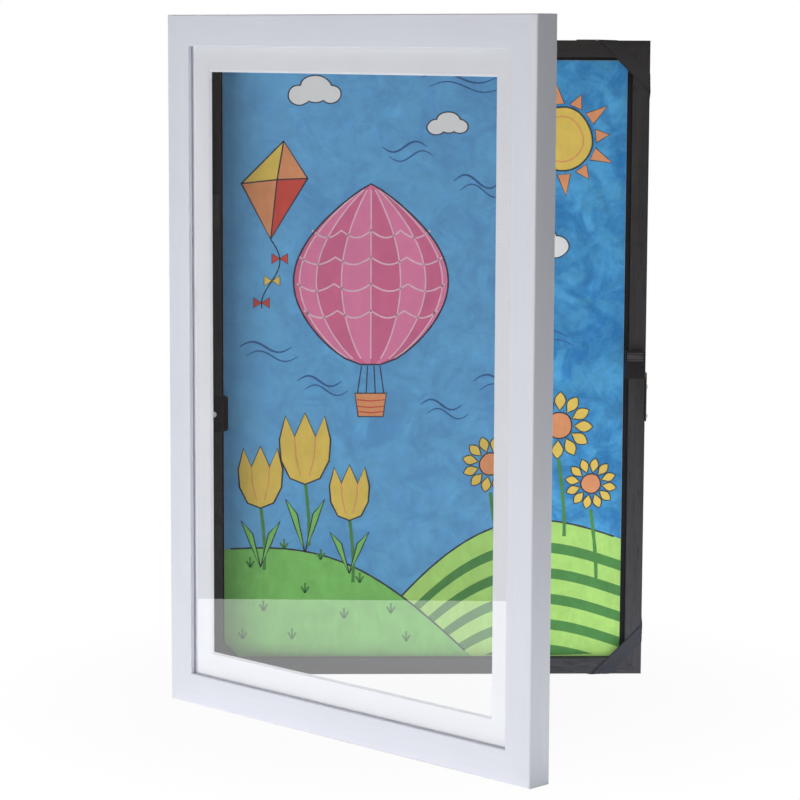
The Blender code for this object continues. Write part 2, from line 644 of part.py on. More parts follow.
def build_hinges(tray, door, rails, mouldings):
    """Two butt hinges, laid on the tray and let into the door, with their pins and screws."""
    half = LEAF_HEIGHT / 2
    middle = KNUCKLE_MIDDLE / 2
    outer_knuckles = [(-half, -middle - SEAT), (middle + SEAT, half)]
    for place, centre_z in (("upper", HINGE_FROM_CENTRE), ("lower", -HINGE_FROM_CENTRE)):
        hinge_pocket(door, mouldings["hinge"], f"hinge_pocket_{place}", centre_z)
        for owner, body, wood, width, knuckles, screw_out, side in (
                ("tray", tray, rails["hinge"], TRAY_LEAF_WIDTH, outer_knuckles, TRAY_LEAF_SCREW_OUT, 1),
                ("door", door, mouldings["hinge"], DOOR_LEAF_WIDTH, [(-middle, middle)],
                 DOOR_LEAF_SCREW_OUT, -1)):
            holes, out = build_leaf(f"hinge_leaf_{owner}_{place}", body, centre_z, width, knuckles,
                                    screw_out, side)
            for letter, hole in zip("ab", holes):
                cross_screw(f"hinge_screw_{owner}_{place}_{letter}", True, LEAF_SCREW_LENGTH, BLACKENED_STEEL,
                            body, hole, out)
                face = hole - out * (LEAF_THICK + SEAT)
                drill(wood, body, face, out, SHANK_RADIUS + SEAT, LEAF_SCREW_LENGTH)
        head = half + SEAT
        profile = [(0, head + PIN_HEAD_HEIGHT), (PIN_HEAD_RADIUS / 2, head + PIN_HEAD_HEIGHT),
                   (PIN_HEAD_RADIUS, head), (PIN_RADIUS, head), (PIN_RADIUS, -head), (PIN_HEAD_RADIUS, -head),
                   (PIN_HEAD_RADIUS / 2, -head - PIN_HEAD_HEIGHT), (0, -head - PIN_HEAD_HEIGHT)]
        turned_piece(f"hinge_pin_{place}", profile, BLACKENED_STEEL, tray, (AXIS_X, AXIS_Y, centre_z),
                     (0, 0, 1))


def build_catch(tray, door, rails, strips):
    """Magnetic catch: bracket, housing, magnet between two steel poles, and the strike on the door."""
    side_x = TRAY_WIDTH / 2
    right = side_x - CATCH_FROM_EDGE
    left = right - CATCH_WIDTH
    middle_x = (left + right) / 2
    bracket_front = TRAY_FRONT - SEAT - BRACKET_THICK
    outer_x = side_x + SEAT + BRACKET_THICK
    flange = box_mesh((CATCH_WIDTH, BRACKET_THICK, CATCH_HEIGHT))
    flange_at = (middle_x, bracket_front + BRACKET_THICK / 2, CATCH_Z)
    bracket = piece_from(flange, "catch_bracket", BRASSED_STEEL, tray, flange_at)
    arm_top = BRACKET_SIDE_TOP
    bend_height = arm_top - CATCH_Z + CATCH_HEIGHT / 2
    bend = box_mesh((outer_x - middle_x, BRACKET_THICK, bend_height))
    bend_at = ((outer_x + middle_x) / 2, bracket_front + BRACKET_THICK / 2, arm_top - bend_height / 2)
    boolean(bracket, cutter_from(bend, "catch_bracket_bend", tray, bend_at), "UNION")
    arm_height = arm_top - BRACKET_SIDE_BOTTOM
    arm = box_mesh((BRACKET_THICK, BRACKET_SIDE_DEPTH, arm_height))
    arm_at = (outer_x - BRACKET_THICK / 2, bracket_front + BRACKET_SIDE_DEPTH / 2, arm_top - arm_height / 2)
    boolean(bracket, cutter_from(arm, "catch_bracket_side", tray, arm_at), "UNION")
    screw_y = TRAY_FRONT + CATCH_SCREW_BACK
    for place, height in (("upper", CATCH_SCREW_UPPER_Z), ("lower", CATCH_SCREW_LOWER_Z)):
        seat = Vector((outer_x, screw_y, height))
        top = seat + Vector((SEAT + PAN_HEAD_HEIGHT, 0, 0))
        cross_screw(f"catch_screw_{place}", False, CATCH_SCREW_LENGTH, STAPLE_STEEL, tray, top, (1, 0, 0))
        drill(bracket, tray, seat, (1, 0, 0), SHANK_RADIUS + SEAT, BRACKET_THICK + OVERRUN / 2)
        wood_at = (side_x, screw_y, height)
        drill(rails["free"], tray, wood_at, (1, 0, 0), SHANK_RADIUS + SEAT, CATCH_SCREW_LENGTH)
    housing_rear = bracket_front - SEAT
    strike_rear = STRIP_REAR + SEAT + STRIKE_THICK
    housing_front = strike_rear + CATCH_AIR
    housing_depth = housing_rear - housing_front
    top_z = CATCH_Z + CATCH_HEIGHT / 2
    half_wide, half_tall = CATCH_WIDTH / 2, CATCH_HEIGHT / 2
    block = prism_mesh(rounded_outline([((-half_wide, -half_tall), CATCH_ROUND),
                                        ((half_wide, -half_tall), CATCH_ROUND),
                                        ((half_wide, half_tall), CATCH_ROUND),
                                        ((-half_wide, half_tall), CATCH_ROUND)]), housing_depth)
    housing_at = (middle_x, (housing_rear + housing_front) / 2, CATCH_Z)
    housing = piece_from(block, "catch_housing", BLACK_PLASTIC, tray, housing_at, facing((0, -1, 0)))
    smooth(housing)
    pocket_tall = 2 * (POLE_THICK + SEAT) + MAGNET_HEIGHT + 2 * SEAT
    pocket_z = top_z - POCKET_FROM_TOP - pocket_tall / 2
    pocket = box_mesh((MAGNET_WIDTH + 2 * SEAT, 2 * (MAGNET_DEPTH + SEAT), pocket_tall))
    boolean(housing, cutter_from(pocket, "catch_pocket", tray, (middle_x, housing_front, pocket_z)))
    magnet_y = housing_front + MAGNET_DEPTH / 2
    magnet = box_mesh((MAGNET_WIDTH, MAGNET_DEPTH, MAGNET_HEIGHT))
    piece_from(magnet, "catch_magnet", DARK_MAGNET, tray, (middle_x, magnet_y, pocket_z))
    pole_away = MAGNET_HEIGHT / 2 + SEAT + POLE_THICK / 2
    for place, sign in (("upper", 1), ("lower", -1)):
        pole = box_mesh((MAGNET_WIDTH, MAGNET_DEPTH, POLE_THICK))
        piece_from(pole, f"catch_pole_{place}", BLACKENED_STEEL, tray,
                   (middle_x, magnet_y, pocket_z + sign * pole_away))
    strike_z = top_z - STRIKE_HEIGHT / 2
    strip_edge = DOOR_WIDTH / 2 - DOOR_RING - PANE_PLAY
    strike_x = strip_edge - STRIP_WIDTH / 2
    strike_at = Vector((strike_x, strike_rear - STRIKE_THICK / 2, strike_z))
    strike = piece_from(box_mesh((STRIKE_WIDTH, STRIKE_THICK, STRIKE_HEIGHT)), "strike_plate", BRIGHT_STEEL,
                        door, strike_at)
    screw_at = Vector((strike_x, strike_rear, strike_z - STRIKE_SCREW_DROP))
    cross_screw("strike_screw", True, STRIKE_SCREW_LENGTH, STAPLE_STEEL, door, screw_at, (0, 1, 0))
    countersink(strike, door, screw_at, (0, 1, 0), STRIKE_THICK)
    strip_at = screw_at - Vector((0, STRIKE_THICK + SEAT, 0))
    drill(strips["free"], door, strip_at, (0, 1, 0), SHANK_RADIUS + SEAT, STRIKE_SCREW_LENGTH)


def build_clip(tray, rails):
    """A springy clip on the hinge-side rim, joggled down over the sheet's edge."""
    rim_edge = -TRAY_WIDTH / 2 + RIM_WIDTH
    sheet_edge = -SHEET_WIDTH / 2 - SHEET_SLIP_LEFT
    web = rim_edge + SEAT
    rest = TRAY_FRONT - SEAT
    foot = TRAY_FRONT + RECESS_DEPTH - SEAT
    outline = [(rim_edge - CLIP_ON_RIM, rest), (rim_edge - CLIP_ON_RIM, rest - CLIP_THICK),
               (web + CLIP_THICK, rest - CLIP_THICK), (web + CLIP_THICK, foot - CLIP_THICK),
               (sheet_edge + CLIP_OVER_SHEET, foot - CLIP_THICK), (sheet_edge + CLIP_OVER_SHEET, foot),
               (web, foot), (web, rest)]
    bm = prism_mesh(outline, CLIP_HEIGHT)
    toe = sheet_edge + CLIP_OVER_SHEET
    corners = [edge for edge in bm.edges
               if all(abs(vert.co.x - toe) < WELD for vert in edge.verts)
               and abs(edge.verts[0].co.y - edge.verts[1].co.y) > WELD]
    bmesh.ops.bevel(bm, geom=corners, offset=CLIP_ROUND, segments=ROUND_STEPS, profile=1 / 2,
                    affect="EDGES")
    clip = piece_from(bm, "sheet_clip", BLACK_PLASTIC, tray, (0, 0, CLIP_Z))
    smooth(clip)
    seat = Vector((rim_edge - CLIP_SCREW_OUT, rest - CLIP_THICK, CLIP_Z))
    top = seat - Vector((0, SEAT + PAN_HEAD_HEIGHT, 0))
    cross_screw("sheet_clip_screw", False, CLIP_SCREW_LENGTH, STAPLE_STEEL, tray, top, (0, -1, 0))
    drill(clip, tray, seat, (0, -1, 0), SHANK_RADIUS + SEAT, CLIP_THICK + OVERRUN)
    wood = Vector((seat.x, TRAY_FRONT, CLIP_Z))
    drill(rails["hinge"], tray, wood, (0, -1, 0), SHANK_RADIUS + SEAT, CLIP_SCREW_LENGTH)


def build_hanger(tray, rails):
    """A small saw-tooth hanger on the top rail, held by two nails."""
    half = HANGER_WIDTH / 2
    foot = half - HANGER_FOOT
    ramp = foot - HANGER_RAMP
    low, high = SEAT, SEAT + HANGER_STAND
    near = [(-half, low), (-foot, low), (-ramp, high), (ramp, high), (foot, low), (half, low)]
    outline = near + [(x, y + HANGER_THICK) for x, y in reversed(near)]
    centre_z = TRAY_HEIGHT / 2 - RING_WIDTH / 2
    hanger = piece_from(prism_mesh(outline, HANGER_HEIGHT), "hanger_sawtooth", BRASSED_STEEL, tray,
                        (0, 0, centre_z))
    pitch = 2 * ramp / (TOOTH_COUNT + 1)
    for index in range(TOOTH_COUNT):
        x = (index - (TOOTH_COUNT - 1) / 2) * pitch
        notch = prism_mesh([(-pitch / 2, -TOOTH_HEIGHT), (pitch / 2, -TOOTH_HEIGHT), (0, TOOTH_HEIGHT)],
                           2 * (HANGER_STAND + HANGER_THICK) + OVERRUN)
        at = (x, high, centre_z - HANGER_HEIGHT / 2)
        boolean(hanger, cutter_from(notch, f"hanger_notch_{index}", tray, at, facing((0, -1, 0))))
    for place, sign in (("left", -1), ("right", 1)):
        nail_x = sign * (half - HANGER_FOOT / 2)
        seat = Vector((nail_x, SEAT + HANGER_THICK, centre_z))
        top = seat + Vector((0, SEAT + NAIL_HEAD_HEIGHT, 0))
        profile = [(0, 0), (NAIL_HEAD_RADIUS, 0), (NAIL_HEAD_RADIUS, -NAIL_HEAD_HEIGHT),
                   (NAIL_SHANK_RADIUS, -NAIL_HEAD_HEIGHT), (NAIL_SHANK_RADIUS, SHANK_POINT - NAIL_LENGTH),
                   (0, -NAIL_LENGTH)]
        turned_piece(f"hanger_nail_{place}", profile, STAPLE_STEEL, tray, top, (0, 1, 0))
        drill(hanger, tray, seat, (0, 1, 0), NAIL_SHANK_RADIUS + SEAT, HANGER_THICK + OVERRUN)
        drill(rails["top"], tray, (nail_x, 0, centre_z), (0, 1, 0), NAIL_SHANK_RADIUS + SEAT, NAIL_LENGTH)


def build_bumpers(tray):
    """Two soft pads that hold the lower corners off the wall."""
    top = SEAT + BUMPER_THICK
    for place, sign in (("left", -1), ("right", 1)):
        at = (sign * (TRAY_WIDTH / 2 - BUMPER_FROM_CORNER), top, -TRAY_HEIGHT / 2 + RING_WIDTH / 2)
        profile = [(0, 0)]
        for step in range(ROUND_STEPS + 1):
            angle = math.pi / 2 * (1 - step / ROUND_STEPS)
            profile.append((BUMPER_RADIUS - BUMPER_ROUND * (1 - math.cos(angle)),
                            -BUMPER_ROUND * (1 - math.sin(angle))))
        profile += [(BUMPER_RADIUS, -BUMPER_THICK), (0, -BUMPER_THICK)]
        turned_piece(f"wall_bumper_{place}", profile, BLACK_RUBBER, tray, at, (0, 1, 0))


clear_scene()
PARTS = collection("art_frame")
CUTTERS = collection("cutters")
tray_body = Body("tray_origin", (0, 0, 0))
door_body = Body("door_axis", (AXIS_X, AXIS_Y, 0))
tray_rails = build_tray(tray_body)
door_mouldings, door_strips = build_door(door_body)
build_straps(tray_body, tray_rails)
build_hinges(tray_body, door_body, tray_rails, door_mouldings)
build_catch(tray_body, door_body, tray_rails, door_strips)
build_clip(tray_body, tray_rails)
build_hanger(tray_body, tray_rails)
build_bumpers(tray_body)
door_body.empty.rotation_euler.z = -math.radians(DOOR_OPEN_DEGREES)
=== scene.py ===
"""Dresses a front-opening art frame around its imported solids.

X runs to the viewer's right, -Y faces the viewer, +Y faces the wall and +Z is up, in metres. A class
stands for each sub-assembly, and a small class for each finish. The door's pieces are made as if the
door were shut, and then swung open about the hinge line.
"""

import json
import logging
import math
from collections.abc import Sequence
from dataclasses import dataclass, field
from enum import Enum

import bmesh
import bpy
from mathutils import Matrix, Vector


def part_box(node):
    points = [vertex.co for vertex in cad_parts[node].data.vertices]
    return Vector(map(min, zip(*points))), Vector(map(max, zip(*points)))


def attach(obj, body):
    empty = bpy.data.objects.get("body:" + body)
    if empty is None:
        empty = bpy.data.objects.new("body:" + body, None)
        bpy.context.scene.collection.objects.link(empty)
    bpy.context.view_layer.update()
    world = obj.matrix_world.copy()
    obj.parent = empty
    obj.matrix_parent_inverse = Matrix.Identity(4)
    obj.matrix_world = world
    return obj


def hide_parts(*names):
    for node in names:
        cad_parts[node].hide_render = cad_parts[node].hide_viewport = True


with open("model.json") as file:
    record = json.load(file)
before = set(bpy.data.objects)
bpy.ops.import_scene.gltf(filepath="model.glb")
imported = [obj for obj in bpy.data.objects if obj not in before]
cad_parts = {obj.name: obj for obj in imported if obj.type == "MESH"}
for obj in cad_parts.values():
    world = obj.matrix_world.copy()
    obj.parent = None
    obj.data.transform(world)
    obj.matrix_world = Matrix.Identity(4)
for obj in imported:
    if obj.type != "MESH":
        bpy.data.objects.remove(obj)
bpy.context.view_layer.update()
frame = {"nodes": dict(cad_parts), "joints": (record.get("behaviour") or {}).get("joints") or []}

LOG = logging.getLogger("art_frame")
Triple = tuple[float, float, float]
Colour = Triple
Point = tuple[float, float]
Mesh = bmesh.types.BMesh
Socket = bpy.types.NodeSocket

MILLIMETRE = 0.001
REARWARD = Vector((0, 1, 0))
JOINT = frame["joints"][0]
HINGE_LINE = Vector(JOINT["pos_m"])
SHUT_ANGLE = math.radians(JOINT["range_deg"][0])
SWING = Matrix.Translation(HINGE_LINE) @ Matrix.Rotation(SHUT_ANGLE, 4, "Z") @ Matrix.Translation(-HINGE_LINE)


class Body(Enum):
    """The two bodies that the hinge joins."""

    TRAY = "root"
    DOOR = "door"


class Grain(Enum):
    """How a board's grain is stretched along one axis, as a scale for its coordinates."""

    ALONG_X = (5.0, 110.0, 110.0)
    ALONG_Z = (110.0, 110.0, 5.0)


class Side(Enum):
    """The sides of a frame: turn about Y in degrees, and where each lies in X and Z."""

    BOTTOM = (0, 0, -1)
    LEFT = (90, -1, 0)
    TOP = (180, 0, 1)
    RIGHT = (270, 1, 0)


# Finishes


class Graph:
    """The shader nodes of one material, drawn around its Principled node, or those of the world."""

    def __init__(self, owner: bpy.types.Material | bpy.types.World) -> None:
        """Start on the nodes that the owner has.

        Args:
            owner: The material or the world.
        """
        self.owner = owner
        owner.use_nodes = True
        self.tree = owner.node_tree
        self.shader = self.tree.nodes.get("Principled BSDF")
        self.output = self.tree.nodes.get("Material Output")

    def feed(self, socket: Socket, value: object) -> None:
        """Link a socket, or set its value.

        Args:
            socket: The input socket.
            value: An output socket, a number or a colour.
        """
        if isinstance(value, Socket):
            self.tree.links.new(value, socket)
        elif socket.type == "RGBA" and len(value) == 3:
            socket.default_value = (*value, 1.0)
        else:
            socket.default_value = value

    def node(self, kind: str, inputs: dict[str | int, object] | None = None,
             **settings: object) -> bpy.types.Node:
        """Add a node.

        Args:
            kind: The node's type.
            inputs: Values or links for its inputs, by name or number.
            **settings: The node's own options.

        Returns:
            The node.
        """
        made = self.tree.nodes.new(kind)
        for name, value in settings.items():
            setattr(made, name, value)
        for name, value in (inputs or {}).items():
            self.feed(made.inputs[name], value)
        return made

    def surface(self, name: str, value: object) -> None:
        """Feed one input of the Principled node."""
        self.feed(self.shader.inputs[name], value)

    def place(self, stretch: Triple = (1.0, 1.0, 1.0), turn: Triple = (0.0, 0.0, 0.0)) -> Socket:
        """Return the piece's own coordinates, stretched and turned."""
        own = self.node("ShaderNodeTexCoord").outputs["Object"]
        return self.node("ShaderNodeMapping", {"Vector": own, "Scale": stretch, "Rotation": turn}).outputs[0]

    def noise(self, where: Socket, scale: float, detail: float = 3.0, roughness: float = 0.5,
              distortion: float = 0.0) -> Socket:
        """Return a noise from 0 to 1, mostly near a half."""
        return self.node("ShaderNodeTexNoise", {
            "Vector": where, "Scale": scale, "Detail": detail, "Roughness": roughness,
            "Distortion": distortion}).outputs[0]

    def maths(self, operation: str, first: object, second: object = 0.0) -> Socket:
        """Return the result of one sum on two values."""
        return self.node("ShaderNodeMath", {0: first, 1: second}, operation=operation).outputs[0]

    def remap(self, value: Socket, low: float, high: float, start: float = 0.3, end: float = 0.7) -> Socket:
        """Return a value carried from the range start to end into low to high."""
        return self.node("ShaderNodeMapRange", {
            "Value": value, "From Min": start, "From Max": end, "To Min": low, "To Max": high}).outputs[0]

    def tones(self, value: Socket, low: Colour, high: Colour, start: float = 0.3, end: float = 0.7) -> Socket:
        """Return a colour between two tones."""
        return self.mix(self.remap(value, 0.0, 1.0, start, end), low, high)

    def mix(self, share: object, first: object, second: object) -> Socket:
        """Return a mixture of two colours, which are the node's seventh and eighth inputs."""
        made = self.node("ShaderNodeMix", {0: share, 6: first, 7: second}, data_type="RGBA")
        return made.outputs[2]

    def shades(self, value: Socket, colour: Colour, low: float, high: float, start: float = 0.3,
               end: float = 0.7) -> Socket:
        """Return a colour that a value makes darker or lighter, from low to high times its own."""
        return self.tones(value, shade(colour, low), shade(colour, high), start, end)

    def multiply(self, colour: Socket, factor: Socket) -> Socket:
        """Return a colour made lighter or darker by a varying factor of about 1."""
        return self.node("ShaderNodeVectorMath", {0: colour, "Scale": factor}, operation="SCALE").outputs[0]

    def waves(self, where: Socket, axis: int, pitch: float) -> Socket:
        """Return a sine from -1 to 1 along one axis, with waves as long as the pitch."""
        along = self.node("ShaderNodeSeparateXYZ", {0: where}).outputs[axis]
        return self.maths("SINE", self.maths("MULTIPLY", along, 2 * math.pi / pitch))

    def seen(self) -> Socket:
        """Tell the rays that look at a surface from those that light it.

        Returns:
            A socket that is 1 for rays from the eye, from gloss and through glass, else 0.
        """
        path = self.node("ShaderNodeLightPath").outputs
        total = path["Is Camera Ray"]
        for name in ("Is Glossy Ray", "Is Transmission Ray"):
            total = self.maths("MAXIMUM", total, path[name])
        return total

    def bump(self, height: Socket, depth: float, under: Socket | None = None) -> Socket:
        """Return a normal raised by a height of 0 to 1 times a depth in metres, on top of another."""
        inputs = {"Height": height, "Distance": depth} | ({} if under is None else {"Normal": under})
        return self.node("ShaderNodeBump", inputs).outputs[0]


MADE: dict[str, bpy.types.Material] = {}


def shade(colour: Colour, factor: float) -> Colour:
    """Return a colour made lighter or darker."""
    return tuple(min(1.0, part * factor) for part in colour)


@dataclass(frozen=True)
class Finish:
    """A surface finish.

    Attributes:
        name: Its name, and its material's.
        slot: The record's slot that it belongs to; not used.
        colour: Its middle colour, linear.
        roughness: Its middle roughness.
    """

    name: str
    slot: str
    colour: Colour
    roughness: float

    def material(self) -> bpy.types.Material:
        """Return the finish's material, made on first use.

        Returns:
            The material.
        """
        if self.name not in MADE:
            MADE[self.name] = bpy.data.materials.new(self.name)
            self.draw(Graph(MADE[self.name]))
        return MADE[self.name]

    def draw(self, graph: Graph) -> None:
        """Draw the finish's nodes."""
        raise NotImplementedError

    def cover(self, graph: Graph, colour: Socket, wear: Socket, less: float, more: float,
              relief: Socket) -> None:
        """Feed the Principled node.

        Args:
            graph: The material's nodes.
            colour: The colour.
            wear: What the roughness follows.
            less: How far it falls below its middle.
            more: How far it rises above it.
            relief: The normal.
        """
        graph.surface("Base Color", colour)
        graph.surface("Roughness", graph.remap(wear, self.roughness - less, self.roughness + more))
        graph.surface("Normal", relief)


@dataclass(frozen=True)
class Lacquer(Finish):
    """Satin lacquer sprayed on wood, through which the grain just shows."""

    grain: Grain = Grain.ALONG_X

    def draw(self, graph: Graph) -> None:
        """Draw a faintly mottled colour, orange peel and a trace of grain.

        Args:
            graph: The material's nodes.
        """
        where = graph.place()
        lengthwise = graph.place(self.grain.value)
        cloud = graph.noise(where, 11, 4)
        fibre = graph.noise(lengthwise, 5, 5, 0.6)
        tone = graph.shades(cloud, self.colour, 0.975, 1.02)
        streak = graph.shades(fibre, self.colour, 0.955, 1.02)
        peel = graph.bump(graph.noise(where, 620, 2), 0.000022)
        self.cover(graph, graph.mix(0.5, tone, streak), graph.noise(where, 42, 4, 0.65), 0.05, 0.08,
                   graph.bump(fibre, 0.00004, peel))
        graph.surface("Coat Weight", 0.12)
        graph.surface("Coat Roughness", 0.22)


@dataclass(frozen=True)
class StainedWood(Finish):
    """Dark stained hardwood with open pores; painted floor light makes its foot cooler and paler."""

    grain: Grain = Grain.ALONG_X
    # painted floor light: the paler, cooler colour that the wood takes at the tray's foot
    foot: Colour = (0.083, 0.083, 0.095)

    def draw(self, graph: Graph) -> None:
        """Draw long streaks, short pores, worn, slightly paler fibres and painted floor light at the foot.

        Args:
            graph: The material's nodes.
        """
        where = graph.place()
        lengthwise = graph.place(self.grain.value)
        figure = graph.noise(lengthwise, 2.2, 5, 0.6, 0.4)
        fibre = graph.noise(lengthwise, 9, 4, 0.7)
        up = graph.node("ShaderNodeSeparateXYZ", {0: where}).outputs[2]
        # painted floor light: from the middle down, the stain's colour turns to the paler, cooler foot colour
        painted_floor_light_share = graph.maths("POWER", graph.remap(up, 1.0, 0.0, -0.24, 0.20), 2.2)
        stain = graph.mix(painted_floor_light_share, self.colour, self.foot)
        streak = graph.multiply(stain, graph.remap(figure, 0.84, 1.18))
        pores = graph.remap(graph.noise(lengthwise, 17, 2, 0.5), 0.0, 1.0, 0.30, 0.42)
        stained = graph.mix(pores, shade(self.colour, 0.58), streak)
        rubbed = graph.remap(graph.noise(where, 24, 5, 0.7), 0.0, 0.16, 0.52, 0.75)
        self.cover(graph, graph.mix(rubbed, stained, shade(self.colour, 2.0)), fibre, 0.10, 0.12,
                   graph.bump(fibre, 0.00005, graph.bump(pores, 0.00006)))
        graph.surface("Specular IOR Level", 0.12)


@dataclass(frozen=True)
class BareWood(Finish):
    """Planed softwood with darker late growth."""

    grain: Grain = Grain.ALONG_X

    def draw(self, graph: Graph) -> None:
        """Draw growth lines and fine fibres along the grain.

        Args:
            graph: The material's nodes.
        """
        lengthwise = graph.place(self.grain.value)
        rings = graph.noise(lengthwise, 1.6, 2, 0.45, 1.2)
        fibre = graph.noise(lengthwise, 12, 4, 0.65)
        growth = graph.shades(rings, self.colour, 0.72, 1.12, 0.35, 0.62)
        fine = graph.shades(fibre, self.colour, 0.85, 1.1)
        self.cover(graph, graph.mix(0.4, growth, fine), fibre, 0.08, 0.1, graph.bump(fibre, 0.00006))


@dataclass(frozen=True)
class Board(Finish):
    """Pressed paper board with short fibres."""

    fleck: float = 0.9

    def draw(self, graph: Graph) -> None:
        """Draw fibres, flecks and a soft tooth.

        Args:
            graph: The material's nodes.
        """
        where = graph.place()
        fibre = graph.noise(where, 900, 4, 0.7)
        cloud = graph.noise(where, 26, 3)
        tone = graph.shades(cloud, self.colour, 0.97, 1.02)
        fine = graph.shades(fibre, self.colour, self.fleck, 1.04)
        self.cover(graph, graph.mix(0.5, tone, fine), fibre, 0.06, 0.06, graph.bump(fibre, 0.00003))


@dataclass(frozen=True)
class Hardboard(Finish):
    """Brown hardboard with the print of the press screen on its rear."""

    mesh_pitch: float = 0.0016

    def draw(self, graph: Graph) -> None:
        """Draw brown fibres, dark flecks and the screen's crossed ridges.

        Args:
            graph: The material's nodes.
        """
        where = graph.place()
        fibre = graph.noise(where, 420, 5, 0.7)
        fleck = graph.remap(graph.noise(where, 330, 5, 0.72, 0.8), 0.35, 1.0, 0.28, 0.44)
        cloud = graph.noise(where, 9, 4, 0.6)
        tone = graph.shades(cloud, self.colour, 0.85, 1.12)
        fine = graph.mix(0.45, tone, graph.shades(fibre, self.colour, 0.72, 1.25))
        screen = graph.maths("MULTIPLY", graph.waves(where, 0, self.mesh_pitch),
                             graph.waves(where, 2, self.mesh_pitch))
        relief = graph.bump(graph.remap(screen, 0.0, 1.0, -1.0, 1.0), 0.00012)
        self.cover(graph, graph.mix(fleck, shade(self.colour, 0.55), fine), fibre, 0.1, 0.08,
                   graph.bump(fibre, 0.00005, relief))


@dataclass(frozen=True)
class Watercolour(Finish):
    """A painted wash: pools of pigment on a paper's tooth.

    Attributes:
        pooling: How far the pools are lighter and darker.
        second: A colour that the wash drifts to, if any.
        bloom: Share of the painted light, a paler colour on the sheet's left behind the open door, or 0.
        painted_light_colour: The paler colour of the painted light.
        painted_light_edge: X where the painted light starts to end, and where it has ended.
        shaded_edge: The same for more painted light at the hinge side, where the door's shade is deepest.
        shaded_share: Share of the painted light that is added there.
    """

    pooling: float = 0.22
    second: Colour | None = None
    # painted light: share of the paler colour on the sheet's left, behind the open door
    bloom: float = 0.0
    painted_light_colour: Colour = (0.29, 0.64, 1.0)
    painted_light_edge: Point = (0.05, 0.10)
    shaded_edge: Point = (-0.145, -0.075)
    shaded_share: float = 0.4

    def draw(self, graph: Graph) -> None:
        """Draw drifting pools, brush drag, granulation and painted light on the sheet's left.

        Args:
            graph: The material's nodes.
        """
        where = graph.place()
        drag = graph.noise(graph.place((95, 1, 34), (0, 0.6, 0)), 1, 4, 0.6, 1.2)
        pool = graph.noise(where, 62, 6, 0.66, 0.6)
        grains = graph.noise(where, 1400, 3, 0.7)
        wash = graph.shades(pool, self.colour, 1 - self.pooling, 1 + self.pooling)
        stroke = graph.shades(drag, self.colour, 1 - 0.7 * self.pooling, 1 + 0.9 * self.pooling)
        blended = graph.mix(0.45, wash, stroke)
        if self.second:
            drift = graph.remap(graph.noise(where, 42, 6, 0.70, 0.8), 0.0, 1.0, 0.37, 0.62)
            other = graph.shades(pool, self.second, 1 - self.pooling, 1 + self.pooling)
            blended = graph.mix(drift, blended, other)
        # painted light: paler towards the sheet's left, where the open door and its pane darken it, most at
        # the hinge side
        if self.bloom:
            across = graph.node("ShaderNodeSeparateXYZ", {0: where}).outputs[0]
            further = graph.remap(across, self.shaded_share * self.bloom, 0.0, *self.shaded_edge)
            paler = graph.maths("ADD", graph.remap(across, self.bloom, 0.0, *self.painted_light_edge), further)
            blended = graph.mix(paler, blended, self.painted_light_colour)
        grainy = graph.mix(graph.remap(grains, 0.0, 0.22), blended, shade(self.colour, 1.5))
        self.cover(graph, grainy, pool, 0.08, 0.06, graph.bump(grains, 0.00002))


@dataclass(frozen=True)
class Elastic(Finish):
    """Woven elastic: ribs along the band, crossed by a finer weft, with painted light and shade."""

    rib: float = 0.0011
    weft: float = 0.0008
    # painted shadow line: the band is darkened where |X| + |Z| falls below these bounds, along its inner edge
    painted_shadow_edge: Point = (0.3708, 0.3727)
    # painted floor light: the paler, bluer colour of the bands at the tray's foot
    foot: Colour = (0.078, 0.081, 0.100)

    def draw(self, graph: Graph) -> None:
        """Draw the weave on coordinates turned to the band's 45 degrees.

        The colour also has painted floor light, paler and bluer at the tray's foot, and a painted
        shadow line along each band's inner edge.

        Args:
            graph: The material's nodes.
        """
        where = graph.place(turn=(0, math.pi / 4, 0))
        ribs = graph.waves(where, 0, self.rib)
        weft = graph.waves(where, 2, self.weft)
        weave = graph.remap(graph.maths("MULTIPLY", ribs, weft), 0.0, 1.0, -1.0, 1.0)
        fuzz = graph.noise(where, 2600, 3, 0.7)
        thread = graph.remap(weave, 0.45, 1.5, 0.1, 0.9)
        lint = graph.remap(fuzz, 0.8, 1.7, 0.45, 0.8)
        across, _, up = graph.node("ShaderNodeSeparateXYZ", {0: graph.place()}).outputs
        # painted floor light: the bands turn paler and bluer towards the tray's foot
        painted_floor_light_colour = graph.tones(up, self.foot, self.colour, -0.24, 0.20)
        band = graph.mix(0.35, graph.multiply(painted_floor_light_colour, thread), graph.multiply(painted_floor_light_colour, lint))
        # painted shadow line: darkens each band along its inner edge, nearest the frame's middle
        out = graph.maths("ADD", graph.maths("ABSOLUTE", across), graph.maths("ABSOLUTE", up))
        painted_shadow_share = graph.remap(out, 0.75, 0.0, *self.painted_shadow_edge)
        self.cover(graph, graph.mix(painted_shadow_share, band, shade(self.colour, 0.2)), fuzz, 0.05, 0.1,
                   graph.bump(fuzz, 0.00004, graph.bump(weave, 0.00016)))
        graph.surface("Specular IOR Level", 0.15)


@dataclass(frozen=True)
class Metal(Finish):
    """Plated steel, lightly rubbed, with small stains."""

    stain: float = 0.75

    def draw(self, graph: Graph) -> None:
        """Draw rolling marks, blotches and a varied gloss.

        Args:
            graph: The material's nodes.
        """
        where = graph.place()
        rolled = graph.noise(graph.place((900, 900, 60)), 1, 3, 0.6)
        blotch = graph.noise(where, 160, 4, 0.65)
        tone = graph.shades(blotch, self.colour, self.stain, 1.08)
        streaked = graph.mix(graph.remap(rolled, 0.0, 0.35), tone, shade(self.colour, 0.86))
        self.cover(graph, streaked, blotch, 0.08, 0.12,
                   graph.bump(rolled, 0.00001, graph.bump(blotch, 0.00002)))
        graph.surface("Metallic", 1.0)


